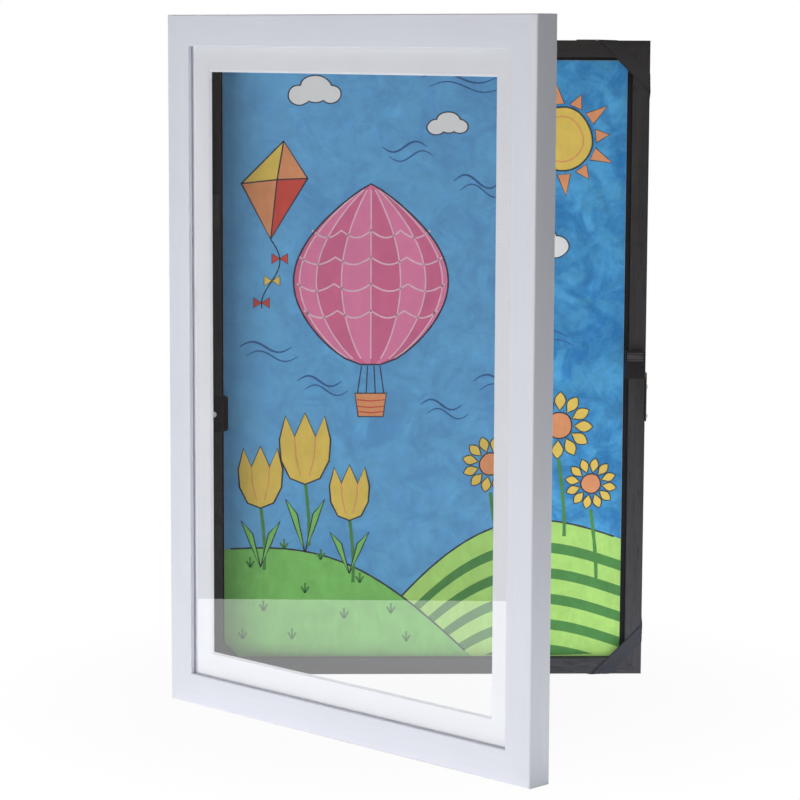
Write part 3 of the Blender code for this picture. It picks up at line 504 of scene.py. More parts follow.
@dataclass(frozen=True)
class Moulded(Finish):
    """Moulded plastic, rubber or sintered stuff with a fine, even texture."""

    texture: float = 1500.0
    depth: float = 0.00003
    gloss: float = 0.18

    def draw(self, graph: Graph) -> None:
        """Draw the mould's texture and the marks of use.

        Args:
            graph: The material's nodes.
        """
        where = graph.place()
        wear = graph.noise(where, 140, 4, 0.65)
        self.cover(graph, graph.shades(wear, self.colour, 0.8, 1.3), wear, 0.08, 0.1,
                   graph.bump(graph.noise(where, self.texture, 3, 0.6), self.depth))
        graph.surface("Specular IOR Level", self.gloss)


@dataclass(frozen=True)
class Pane(Finish):
    """A clear glazing sheet with faint smears.

    Attributes:
        gloss: Index of the polished skin that mirrors the room, or 0 for a face without one.
        index: Index of the sheet itself.
    """

    gloss: float = 0.0
    index: float = 1.02

    def draw(self, graph: Graph) -> None:
        """Draw clear glass that lets the lamps' light through.

        Args:
            graph: The material's nodes.
        """
        smear = graph.noise(graph.place((9, 1, 5), (0, 0.6, 0)), 1, 5, 0.65, 0.8)
        graph.surface("Base Color", self.colour)
        graph.surface("Roughness", graph.remap(smear, 0.0, self.roughness, 0.5, 0.8))
        graph.surface("IOR", self.index)
        graph.surface("Transmission Weight", 1.0)
        if self.gloss:
            graph.surface("Coat Weight", 1.0)
            graph.surface("Coat Roughness", 0.0)
            graph.surface("Coat IOR", self.gloss)
        graph.surface("Normal", graph.bump(graph.noise(graph.place(), 3, 1), 0.00004))
        passing = graph.node("ShaderNodeBsdfTransparent", {"Color": self.colour}).outputs[0]
        path = graph.node("ShaderNodeLightPath").outputs
        body = graph.shader.outputs[0]
        for ray in ("Is Diffuse Ray", "Is Shadow Ray"):
            body = graph.node("ShaderNodeMixShader", {0: path[ray], 1: body, 2: passing}).outputs[0]
        graph.feed(graph.output.inputs["Surface"], body)


WHITE = (0.75, 0.765, 0.835)
CHARCOAL = (0.046, 0.0415, 0.041)
WOOD = (0.62, 0.47, 0.30)
LACQUER_X = Lacquer("lacquer_rails", "white_lacquer", WHITE, 0.42, Grain.ALONG_X)
LACQUER_Z = Lacquer("lacquer_stiles", "white_lacquer", WHITE, 0.42, Grain.ALONG_Z)
CHARCOAL_X = StainedWood("charcoal_rails", "charcoal_stain", CHARCOAL, 0.52, Grain.ALONG_X)
CHARCOAL_Z = StainedWood("charcoal_stiles", "charcoal_stain", CHARCOAL, 0.52, Grain.ALONG_Z)
BEAD_X = BareWood("bead_wood_rails", "plain_wood", WOOD, 0.66, Grain.ALONG_X)
BEAD_Z = BareWood("bead_wood_stiles", "plain_wood", WOOD, 0.66, Grain.ALONG_Z)
BLACK_BOARD = Board("dull_black_board", "black_board", (0.018, 0.018, 0.019), 0.85, 0.6)
MAT_BOARD = Board("white_mat", "mat_board", (0.92, 0.925, 0.985), 0.88, 0.97)
PAPER = Board("paper", "sheet_paper", (0.84, 0.84, 0.82), 0.85, 0.95)
HARDBOARD = Hardboard("hardboard", "brown_panel", (0.27, 0.17, 0.095), 0.62)
ELASTIC = Elastic("elastic_band", "black_elastic", (0.056, 0.052, 0.055), 0.78)
ZINC = Metal("zinc_plate", "staple_steel", (0.60, 0.60, 0.60), 0.36)
BRASSED = Metal("brassed_plate", "brassed_steel", (0.24, 0.20, 0.12), 0.46, 0.6)
OLIVE = Metal("olive_plate", "brassed_steel", (0.15, 0.13, 0.085), 0.5, 0.6)
POLE_STEEL = Metal("sanded_pole", "blackened_steel", (0.085, 0.082, 0.088), 0.58, 0.8)
BLACKENED = Metal("blackened_plate", "blackened_steel", (0.085, 0.080, 0.076), 0.52, 0.6)
BRIGHT = Metal("bright_plate", "bright_steel", (0.65, 0.65, 0.66), 0.28)
PLASTIC = Moulded("moulded_black", "black_plastic", (0.014, 0.012, 0.013), 0.55)
MAGNET = Moulded("sintered_magnet", "dark_magnet", (0.060, 0.056, 0.062), 0.62, 700.0, 0.00006)
RUBBER = Moulded("soft_rubber", "black_rubber", (0.035, 0.035, 0.036), 0.88, 900.0, 0.00005)
GLAZING = Pane("picture_glass", "clear_pane", (0.985, 0.99, 0.99), 0.04)
GLAZING_FACE = Pane("picture_glass_face", "clear_pane", (0.985, 0.99, 0.99), 0.04, 2.6)


class Paint(Enum):
    """The picture's paints, in the order of its material slots."""

    # the sky wash's bloom of 0.40 is painted light on the sheet's left, behind the open door
    SKY = Watercolour("sky_wash", "sheet_paper", (0.034, 0.215, 0.53), 0.84, 0.28, (0.105, 0.43, 0.76), 0.40)
    INK = Watercolour("ink_line", "sheet_paper", (0.035, 0.04, 0.06), 0.7, 0.3)
    BREEZE = Watercolour("breeze_stroke", "sheet_paper", (0.045, 0.13, 0.33), 0.84, 0.3)
    PINK = Watercolour("pink_wash", "sheet_paper", (0.90, 0.25, 0.45), 0.84, 0.12)
    ROSE = Watercolour("rose_wash", "sheet_paper", (0.76, 0.17, 0.33), 0.84, 0.15)
    BLUSH = Watercolour("blush_line", "sheet_paper", (0.92, 0.60, 0.72), 0.84, 0.1)
    ORANGE = Watercolour("orange_wash", "sheet_paper", (0.84, 0.34, 0.16), 0.84, 0.18)
    RED = Watercolour("red_wash", "sheet_paper", (0.68, 0.09, 0.07), 0.84, 0.2)
    YELLOW = Watercolour("yellow_wash", "sheet_paper", (0.86, 0.60, 0.13), 0.84, 0.16)
    GREEN = Watercolour("green_wash", "sheet_paper", (0.24, 0.62, 0.16), 0.84, 0.22)
    MEADOW = Watercolour("meadow_stripe", "sheet_paper", (0.09, 0.28, 0.08), 0.84, 0.25)
    LIME = Watercolour("lime_wash", "sheet_paper", (0.46, 0.80, 0.21), 0.84, 0.18)
    CLOUD = Watercolour("white_wash", "sheet_paper", (0.93, 0.94, 0.95), 0.84, 0.04)


# Mesh work


# Points nearer than this are one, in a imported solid, a turned piece and a band
SOLID_WELD, TURNED_WELD, BAND_WELD = 0.000002, 0.00001, 0.000001
FLAT_ANGLE = math.radians(1)
SHARP_ANGLE = math.radians(40)
POCKET_EASE = 0.0002
BRAD_HEAD = ((0, 0.00022), (0.0005, 0.00018), (0.00085, 0.00004), (0.0009, -0.0002), (0, -0.0003))


def finished(bm: Mesh, name: str) -> bpy.types.Mesh:
    """Turn a working mesh, which is used up, into a finished one.

    Args:
        bm: The working mesh.
        name: The finished one's name.

    Returns:
        The finished mesh.
    """
    mesh = bpy.data.meshes.new(name)
    bm.to_mesh(mesh)
    bm.free()
    return mesh


def put(name: str, data: bpy.types.ID) -> bpy.types.Object:
    """Put a mesh, lamp or camera into the scene.

    Args:
        name: The object's name.
        data: The mesh, lamp or camera.

    Returns:
        The object.
    """
    made = bpy.data.objects.new(name, data)
    bpy.context.scene.collection.objects.link(made)
    return made


def rounded(corners: list[tuple[Point, float]], steps: int = 6) -> list[Vector]:
    """Round the corners of an outline.

    Args:
        corners: Corner points with their radii.
        steps: Steps of each arc.

    Returns:
        The outline's points.
    """
    points = []
    for index, (corner, radius) in enumerate(corners):
        here = Vector(corner)
        if radius == 0:
            points.append(here)
            continue
        before = (Vector(corners[index - 1][0]) - here).normalized()
        after = (Vector(corners[(index + 1) % len(corners)][0]) - here).normalized()
        half = before.angle(after) / 2
        centre = here + (before + after).normalized() * (radius / math.sin(half))
        start = here + before * (radius / math.tan(half)) - centre
        turn = (math.pi - 2 * half) * (1 if before.cross(after) < 0 else -1)
        points += [centre + Matrix.Rotation(turn * step / steps, 2) @ start for step in range(steps + 1)]
    return points


def skin(bm: Mesh, rings: list[list[bmesh.types.BMVert]], closed: bool = False) -> None:
    """Join rings of points with faces.

    Args:
        bm: The mesh.
        rings: The rings, with as many points each.
        closed: True to join the last ring to the first.
    """
    for near, far in zip(rings, rings[1:] + rings[:closed]):
        for index in range(len(near)):
            after = (index + 1) % len(near)
            bm.faces.new((near[index], near[after], far[after], far[index]))


def moulding(outline: list[Vector], length: float, gap: float) -> Mesh:
    """Make a moulding along X with mitred ends.

    Args:
        outline: Section as (inward, back) points.
        length: Length of its outer edge.
        gap: Width of the mitre's joint line.

    Returns:
        The mesh, with its outer front edge on the X axis.
    """
    bm = bmesh.new()
    short = gap / 2 * math.sqrt(2)
    ends = []
    for sign in (-1, 1):
        ends.append([bm.verts.new((sign * (length / 2 - inward - short), back, inward))
                     for inward, back in outline])
    skin(bm, ends)
    for end in ends:
        bm.faces.new(end)
    bmesh.ops.recalc_face_normals(bm, faces=bm.faces)
    return bm


def slab(low: Vector, high: Vector, ease: float) -> Mesh:
    """Make a flat board with eased edges.

    Args:
        low: Its lowest corner.
        high: Its highest corner.
        ease: Width of the easing.

    Returns:
        The mesh.
    """
    bm = bmesh.new()
    size = high - low
    at = Matrix.Translation((low + high) / 2) @ Matrix.Diagonal((*size, 1))
    bmesh.ops.create_cube(bm, size=1, matrix=at)
    bmesh.ops.bevel(bm, geom=bm.edges[:], offset=ease, segments=2, profile=0.5, affect="EDGES")
    return bm


def turned(profile: Sequence[Point], at: Vector, out: Vector, steps: int = 40) -> Mesh:
    """Turn a round piece.

    Args:
        profile: (radius, height) points from the axis to the axis.
        at: Where height 0 lies.
        out: The direction of height.
        steps: Steps round.

    Returns:
        The mesh.
    """
    bm = bmesh.new()
    verts = [bm.verts.new((radius, 0, height)) for radius, height in profile]
    edges = [bm.edges.new(pair) for pair in zip(verts, verts[1:])]
    bmesh.ops.spin(bm, geom=verts + edges, cent=(0, 0, 0), axis=(0, 0, 1), angle=2 * math.pi,
                   steps=steps, use_merge=True)
    bmesh.ops.remove_doubles(bm, verts=bm.verts[:], dist=TURNED_WELD)
    bmesh.ops.recalc_face_normals(bm, faces=bm.faces)
    lay = Matrix.Translation(at) @ out.to_track_quat("Z", "Y").to_matrix().to_4x4()
    bmesh.ops.transform(bm, matrix=lay, verts=bm.verts)
    return bm


def hollow(bm: Mesh, low: Vector, high: Vector) -> Mesh:
    """Cut a box out of a mesh.

    Args:
        bm: The mesh, which is used up.
        low: The box's lowest corner.
        high: Its highest corner.

    Returns:
        The mesh that is left.
    """
    wood = put("wood", finished(bm, "wood"))
    pocket = put("pocket", finished(slab(low, high, POCKET_EASE), "pocket"))
    step = wood.modifiers.new("pocket", "BOOLEAN")
    step.solver = "EXACT"
    step.object = pocket
    left = bmesh.new()
    left.from_mesh(wood.evaluated_get(bpy.context.evaluated_depsgraph_get()).to_mesh())
    for made in (wood, pocket):
        mesh = made.data
        bpy.data.objects.remove(made)
        bpy.data.meshes.remove(mesh)
    return left


def refined(node: str, ease: float) -> Mesh:
    """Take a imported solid's mesh, clean it and ease its sharp edges.

    Args:
        node: The solid's name.
        ease: Width of the easing, or 0 for none.

    Returns:
        The mesh, in the frame's coordinates.
    """
    bm = bmesh.new()
    bm.from_mesh(frame["nodes"][node].data)
    bmesh.ops.remove_doubles(bm, verts=bm.verts[:], dist=SOLID_WELD)
    bmesh.ops.dissolve_limit(bm, angle_limit=FLAT_ANGLE, verts=bm.verts[:], edges=bm.edges[:])
    if ease:
        sharp = [edge for edge in bm.edges
                 if len(edge.link_faces) == 2 and edge.calc_face_angle() > SHARP_ANGLE]
        bmesh.ops.bevel(bm, geom=sharp, offset=ease, segments=2, profile=0.5, affect="EDGES",
                        clamp_overlap=True)
    return bm


def piece(bm: Mesh, name: str, finishes: list[Finish], body: Body, nodes: list[str],
          as_shut: bool = False, crease: float = 35.0) -> None:
    """Make a mesh into a dressed piece that rides on a body.

    Args:
        bm: The mesh, which is used up.
        name: The piece's name.
        finishes: Its finishes, in the order of its material slots.
        body: The body that carries it.
        nodes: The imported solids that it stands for.
        as_shut: True if the mesh lies as in the shut door.
        crease: Angle above which an edge stays sharp, in degrees.
    """
    mesh = finished(bm, name)
    for finish in finishes:
        mesh.materials.append(finish.material())
    mesh.shade_smooth()
    mesh.set_sharp_from_angle(angle=math.radians(crease))
    made = put(name, mesh)
    if as_shut:
        made.matrix_world = SWING
    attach(made, body.value)
    if nodes:
        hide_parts(*nodes)
    LOG.info("%s: %d faces, %s, on %s", name, len(mesh.polygons), finishes[0].name, body.value)


def four_sides(prefix: str, outline: list[Vector], width: float, height: float, front: float, gap: float,
               finishes: tuple[Finish, Finish], body: Body, nodes: tuple[str, ...], as_shut: bool,
               pockets: list[tuple[Vector, Vector]] | None = None) -> None:
    """Make the four mitred sides of a frame.

    Args:
        prefix: Start of each side's name.
        outline: Section as (inward, back) points.
        width: Outer width.
        height: Outer height.
        front: Y of the front face.
        gap: Width of the mitres' joint lines.
        finishes: The finish of the rails and that of the stiles.
        body: The body that carries them.
        nodes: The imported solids, in the order of the sides.
        as_shut: True for sides of the door.
        pockets: Boxes to cut out of the left side.
    """
    for side, node in zip(Side, nodes):
        degrees, x_sign, z_sign = side.value
        bm = moulding(outline, height if x_sign else width, gap)
        at = Matrix.Translation((x_sign * width / 2, front, z_sign * height / 2))
        bmesh.ops.transform(bm, matrix=at @ Matrix.Rotation(math.radians(degrees), 4, "Y"), verts=bm.verts)
        for low, high in (pockets or []) if side is Side.LEFT else []:
            bm = hollow(bm, low, high)
        piece(bm, f"{prefix}_{side.name.lower()}", [finishes[1 if x_sign else 0]], body, [node], as_shut)


def add(bm: Mesh, other: Mesh, index: int = 0) -> None:
    """Add a mesh to another.

    Args:
        bm: The mesh that grows.
        other: The mesh to add, which is used up.
        index: The material slot of the added faces.
    """
    for face in other.faces:
        face.material_index = index
    holder = finished(other, "holder")
    bm.from_mesh(holder)
    bpy.data.meshes.remove(holder)


def brads(name: str, half: Point, on_rails: tuple[float, ...], on_stiles: tuple[float, ...], rear: float,
          body: Body, as_shut: bool = False) -> None:
    """Put small brads with low domed heads round the rear of a frame.

    Args:
        name: The piece's name.
        half: Half the distance between opposite brads, in X and in Z.
        on_rails: X of those on the rails.
        on_stiles: Z of those on the stiles.
        rear: Y of the face that they are in.
        body: The body that carries them.
        as_shut: True for brads of the door.
    """
    bm = bmesh.new()
    spots = [(x, sign * half[1]) for sign in (-1, 1) for x in on_rails]
    spots += [(sign * half[0], z) for sign in (-1, 1) for z in on_stiles]
    for x, z in spots:
        add(bm, turned(BRAD_HEAD, Vector((x, rear, z)), REARWARD, 20))
    piece(bm, name, [ZINC], body, [], as_shut)


# Sub-assemblies


@dataclass
class Tray:
    """The shallow tray: four mitred rails, the rear panel and the board behind the sheet."""

    width: float = 0.335
    height: float = 0.485
    depth: float = 0.016
    rim: float = 0.0125
    rebate: float = 0.0045
    panel: float = 0.0030
    seat: float = 0.0003
    edge_round: float = 0.0008
    ledge_round: float = 0.0003
    panel_ease: float = 0.0003
    board_ease: float = 0.0002
    mitre: float = 0.00003
    brad_inset: float = 0.0028
    rail_brads: tuple[float, ...] = (-0.1, 0.1)
    stile_brads: tuple[float, ...] = (-0.17, -0.057, 0.057, 0.17)

    def build(self) -> None:
        """Make the tray's pieces."""
        step = self.depth - self.panel - self.seat
        ring = self.rim - self.rebate
        outline = rounded([((0, 0), self.edge_round), ((self.rim, 0), self.edge_round), ((self.rim, step), 0),
                           ((ring, step), 0), ((ring, self.depth), self.ledge_round),
                           ((0, self.depth), self.edge_round)])
        nodes = ("tray_rail_bottom", "tray_stile_hinge", "tray_rail_top", "tray_stile_catch")
        four_sides("tray_side", outline, self.width, self.height, -self.depth, self.mitre,
                   (CHARCOAL_X, CHARCOAL_Z), Body.TRAY, nodes, False)
        for node, finish, ease in (("back_panel", HARDBOARD, self.panel_ease),
                                   ("backing_board", BLACK_BOARD, self.board_ease)):
            low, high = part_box(node)
            piece(slab(Vector(low), Vector(high), ease), f"{node}_sheet", [finish], Body.TRAY, [node])
        half = (self.width / 2 - self.rim + self.rebate - self.brad_inset,
                self.height / 2 - self.rim + self.rebate - self.brad_inset)
        brads("back_panel_brads", half, self.rail_brads, self.stile_brads, 0.0, Body.TRAY)


@dataclass
class CornerStraps:
    """Four elastic bands across the tray's corners, folded over its edges and stapled behind."""

    tray: Tray
    width: float = 0.0104
    thick: float = 0.0006
    reach: float = 0.0317
    tail: float = 0.0060
    seat: float = 0.0001
    thin_edge: float = 0.25
    squareness: float = 0.55
    section_steps: int = 28
    steps: int = 150
    staple_ease: float = 0.00016

    def fold(self, run: float, lift: float) -> Point:
        """Carry a point round the tray's edge.

        Args:
            run: How far the point lies past the start of the front rounding.
            lift: Its height above the wood.

        Returns:
            Its distance inwards from the tray's outer edge, and its depth in Y.
        """
        edge, depth = self.tray.edge_round, self.tray.depth
        bend = edge + self.seat
        arc = bend * math.pi / 2
        straight = depth - 2 * edge
        out = bend + lift
        if run <= arc:
            angle = run / bend
            return edge - out * math.sin(angle), edge - depth - out * math.cos(angle)
        if run <= arc + straight:
            return -self.seat - lift, edge - depth + run - arc
        if run <= 2 * arc + straight:
            angle = (run - arc - straight) / bend
            return edge - out * math.cos(angle), out * math.sin(angle) - edge
        return edge + run - 2 * arc - straight, self.seat + lift

    def section(self) -> list[Point]:
        """Make the band's section, thinner towards the corner.

        Returns:
            Its points as (across, height).
        """
        points = []
        for step in range(self.section_steps):
            angle = 2 * math.pi * step / self.section_steps
            across, height = (math.copysign(abs(part) ** self.squareness, part)
                              for part in (math.cos(angle), math.sin(angle)))
            thick = self.thick * (self.thin_edge + (1 - self.thin_edge) * (across + 1) / 2)
            points.append((across * self.width / 2, (height + 1) / 2 * thick))
        return points

    def band(self, x_sign: int, z_sign: int) -> Mesh:
        """Make one band.

        Args:
            x_sign: -1 for a left corner, 1 for a right one.
            z_sign: -1 for a bottom corner, 1 for a top one.

        Returns:
            The mesh.
        """
        bm = bmesh.new()
        edge = self.tray.edge_round
        bend = edge + self.seat
        end = math.pi * bend + self.tray.depth - 2 * edge + self.tail
        half = self.reach / 2
        span = (half + end - edge) * math.sqrt(2)
        rings = []
        for step in range(self.steps + 1):
            along = span * (2 * step / self.steps - 1)
            ring = []
            for across, lift in self.section():
                right = half + (along + across) / math.sqrt(2)
                up = half + (across - along) / math.sqrt(2)
                limit = edge - end
                inward, rise, depth = right, up, -self.tray.depth - self.seat - lift
                if up < edge:
                    rise, depth = self.fold(edge - max(up, limit), lift)
                elif right < edge:
                    inward, depth = self.fold(edge - max(right, limit), lift)
                ring.append(bm.verts.new((x_sign * (self.tray.width / 2 - inward), depth,
                                          z_sign * (self.tray.height / 2 - rise))))
            rings.append(ring)
        skin(bm, rings)
        bm.faces.new(rings[0])
        bm.faces.new(rings[-1])
        bmesh.ops.remove_doubles(bm, verts=bm.verts[:], dist=BAND_WELD)
        bmesh.ops.recalc_face_normals(bm, faces=bm.faces)
        return bm

    def build(self) -> None:
        """Make the four bands and their staples."""
        for z_sign, z_name in ((1, "top"), (-1, "bottom")):
            for x_sign, x_name in ((-1, "left"), (1, "right")):
                corner = f"{z_name}_{x_name}"
                piece(self.band(x_sign, z_sign), f"elastic_band_{corner}", [ELASTIC], Body.TRAY,
                      [f"corner_strap_{corner}"], crease=60)
                for rail in ("rail", "stile"):
                    name = f"staple_{corner}_{rail}"
                    node = f"strap_{name}"
                    piece(refined(node, self.staple_ease), name, [ZINC], Body.TRAY, [node])


@dataclass
class Door:
    """The hinged door: mouldings, pane, window mat and beads."""

    width: float = 0.370
    height: float = 0.520
    front: float = -0.0374
    thick: float = 0.0199
    moulding: float = 0.0231
    lip: float = 0.0035
    lip_reach: float = 0.0050
    outer_round: float = 0.0012
    inner_round: float = 0.0008
    lip_round: float = 0.0003
    ring_round: float = 0.0004
    rear_round: float = 0.0006
    round_steps: int = 8
    mitre: float = 0.00005
    play: float = 0.0006
    seat: float = 0.0003
    pane: float = 0.0015
    mat: float = 0.0015
    mat_show: float = 0.0187
    pane_ease: float = 0.0002
    bead: float = 0.0120
    bead_thick: float = 0.0052
    bead_round: float = 0.0008
    bead_ease: float = 0.0003
    bead_gap: float = 0.0003
    rail_brads: tuple[float, ...] = (-0.13, 0.0, 0.13)
    stile_brads: tuple[float, ...] = (-0.2, -0.1, 0.05, 0.2)
    hinge_from_centre: float = 0.113
    pocket_reach: float = 0.0148
    pocket_height: float = 0.0286
    pocket_floor: float = 0.0017

    def build(self) -> None:
        """Make the door's pieces."""
        ring = self.moulding - self.lip_reach
        outline = rounded([((0, 0), self.outer_round), ((self.moulding, 0), self.inner_round),
                           ((self.moulding, self.lip), self.lip_round), ((ring, self.lip), 0),
                           ((ring, self.thick), self.ring_round), ((0, self.thick), self.rear_round)],
                          self.round_steps)
        nodes = ("door_rail_bottom", "door_stile_hinge", "door_rail_top", "door_stile_free")
        four_sides("door_side", outline, self.width, self.height, self.front, self.mitre,
                   (LACQUER_X, LACQUER_Z), Body.DOOR, nodes, True, self.pockets(ring))
        half = Vector((self.width / 2 - ring - self.play, 0, self.height / 2 - ring - self.play))
        pane_front = self.front + self.lip + self.seat
        mat_front = pane_front + self.pane + self.seat
        low = Vector((-half.x, pane_front, -half.z))
        high = Vector((half.x, pane_front + self.pane, half.z))
        glass = slab(low, high, self.pane_ease)
        glass.normal_update()
        for face in glass.faces:
            face.material_index = 1 if face.normal.y < -0.99 else 0
        piece(glass, "glazing_sheet", [GLAZING, GLAZING_FACE], Body.DOOR, ["glazing_pane"], True, 10)
        self.window(half, mat_front)
        bead_front = mat_front + self.mat + self.seat
        profile = rounded([((0, 0), 0), ((self.bead, 0), 0), ((self.bead, self.bead_thick), self.bead_round),
                           ((0, self.bead_thick), self.bead_ease)])
        beads = ("pane_strip_bottom", "pane_strip_hinge", "pane_strip_top", "pane_strip_free")
        four_sides("bead", profile, 2 * half.x, 2 * half.z, bead_front, self.bead_gap, (BEAD_X, BEAD_Z),
                   Body.DOOR, beads, True)
        brads("bead_brads", (half.x - self.bead / 2, half.z - self.bead / 2), self.rail_brads,
              self.stile_brads, bead_front + self.bead_thick, Body.DOOR, True)

    def pockets(self, ring: float) -> list[tuple[Vector, Vector]]:
        """Return the pockets for the hinges' leaves in the rear of the hinge stile.

        Args:
            ring: Width of the stile behind the pane's rebate.

        Returns:
            The lowest and the highest corner of each.
        """
        found = []
        beyond = 0.001
        for middle in (-self.hinge_from_centre, self.hinge_from_centre):
            low = Vector((HINGE_LINE.x - self.pocket_reach, HINGE_LINE.y - self.pocket_floor,
                          middle - self.pocket_height / 2))
            high = Vector((ring - self.width / 2 + beyond, self.front + self.thick + beyond,
                           middle + self.pocket_height / 2))
            found.append((low, high))
        return found

    def window(self, half: Vector, front: float) -> None:
        """Make the mat, with a window whose bevel shows the board's core.

        Args:
            half: Half the mat's width and height, in X and Z.
            front: Y of its front face.
        """
        bm = bmesh.new()
        inner = Vector((self.width / 2 - self.moulding - self.mat_show, 0,
                        self.height / 2 - self.moulding - self.mat_show))
        rear = front + self.mat
        rings = []
        for reach, depth in ((half, front), (half, rear), (inner, rear),
                             (inner + Vector((self.mat, 0, self.mat)), front)):
            rings.append([bm.verts.new((x * reach.x, depth, z * reach.z))
                          for x, z in ((-1, -1), (1, -1), (1, 1), (-1, 1))])
        skin(bm, rings, True)
        bmesh.ops.recalc_face_normals(bm, faces=bm.faces)
        piece(bm, "window_mat_board", [MAT_BOARD], Body.DOOR, ["window_mat"], True, 20)


@dataclass
class Hardware:
    """The steel, plastic and rubber fittings."""

    fine_ease: float = 0.00012
    thin_ease: float = 0.00015
    ease: float = 0.0002

    def build(self) -> None:
        """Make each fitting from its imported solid, with eased edges."""
        for place in ("upper", "lower"):
            for body in Body:
                owner = body.name.lower()
                self.fit(f"hinge_leaf_{owner}_{place}", BLACKENED, body)
                for letter in "ab":
                    self.fit(f"hinge_screw_{owner}_{place}_{letter}", BLACKENED, body)
            self.fit(f"hinge_pin_{place}", BLACKENED)
            self.fit(f"catch_pole_{place}", POLE_STEEL, ease=self.fine_ease)
            self.fit(f"catch_screw_{place}", ZINC)
        for node, finish in (("bracket", OLIVE), ("housing", PLASTIC), ("magnet", MAGNET)):
            self.fit(f"catch_{node}", finish, ease=self.ease)
        self.fit("sheet_clip", PLASTIC, ease=self.thin_ease)
        self.fit("sheet_clip_screw", ZINC)
        self.fit("hanger_sawtooth", BRASSED, ease=self.fine_ease)
        self.fit("strike_plate", BRIGHT, Body.DOOR, self.thin_ease)
        self.fit("strike_screw", ZINC, Body.DOOR)
        for side in ("left", "right"):
            self.fit(f"hanger_nail_{side}", ZINC)
            self.bumper(side)

    def fit(self, node: str, finish: Finish, body: Body = Body.TRAY, ease: float = 0.0) -> None:
        """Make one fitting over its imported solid, with its edges eased by a width."""
        piece(refined(node, ease), f"{node}_fitting", [finish], body, [node])

    def bumper(self, side: str) -> None:
        """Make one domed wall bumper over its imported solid.

        Args:
            side: Left or right, as in the solid's name.
        """
        node = f"wall_bumper_{side}"
        low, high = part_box(node)
        radius = (high[0] - low[0]) / 2
        tall = high[1] - low[1]
        at = Vector(((low[0] + high[0]) / 2, low[1], (low[2] + high[2]) / 2))
        foot, lip, shoulder = 0.97, 0.08, 0.45
        profile = [(0, 0), (radius * foot, 0), (radius, tall * lip), (radius, tall * shoulder)]
        profile += [(radius * math.cos(angle), tall * (shoulder + (1 - shoulder) * math.sin(angle)))
                    for angle in (math.radians(degrees) for degrees in (15, 30, 45, 60, 75))]
        piece(turned(profile + [(0, tall)], at, REARWARD), f"{node}_pad", [RUBBER], Body.TRAY, [node],
              crease=50)


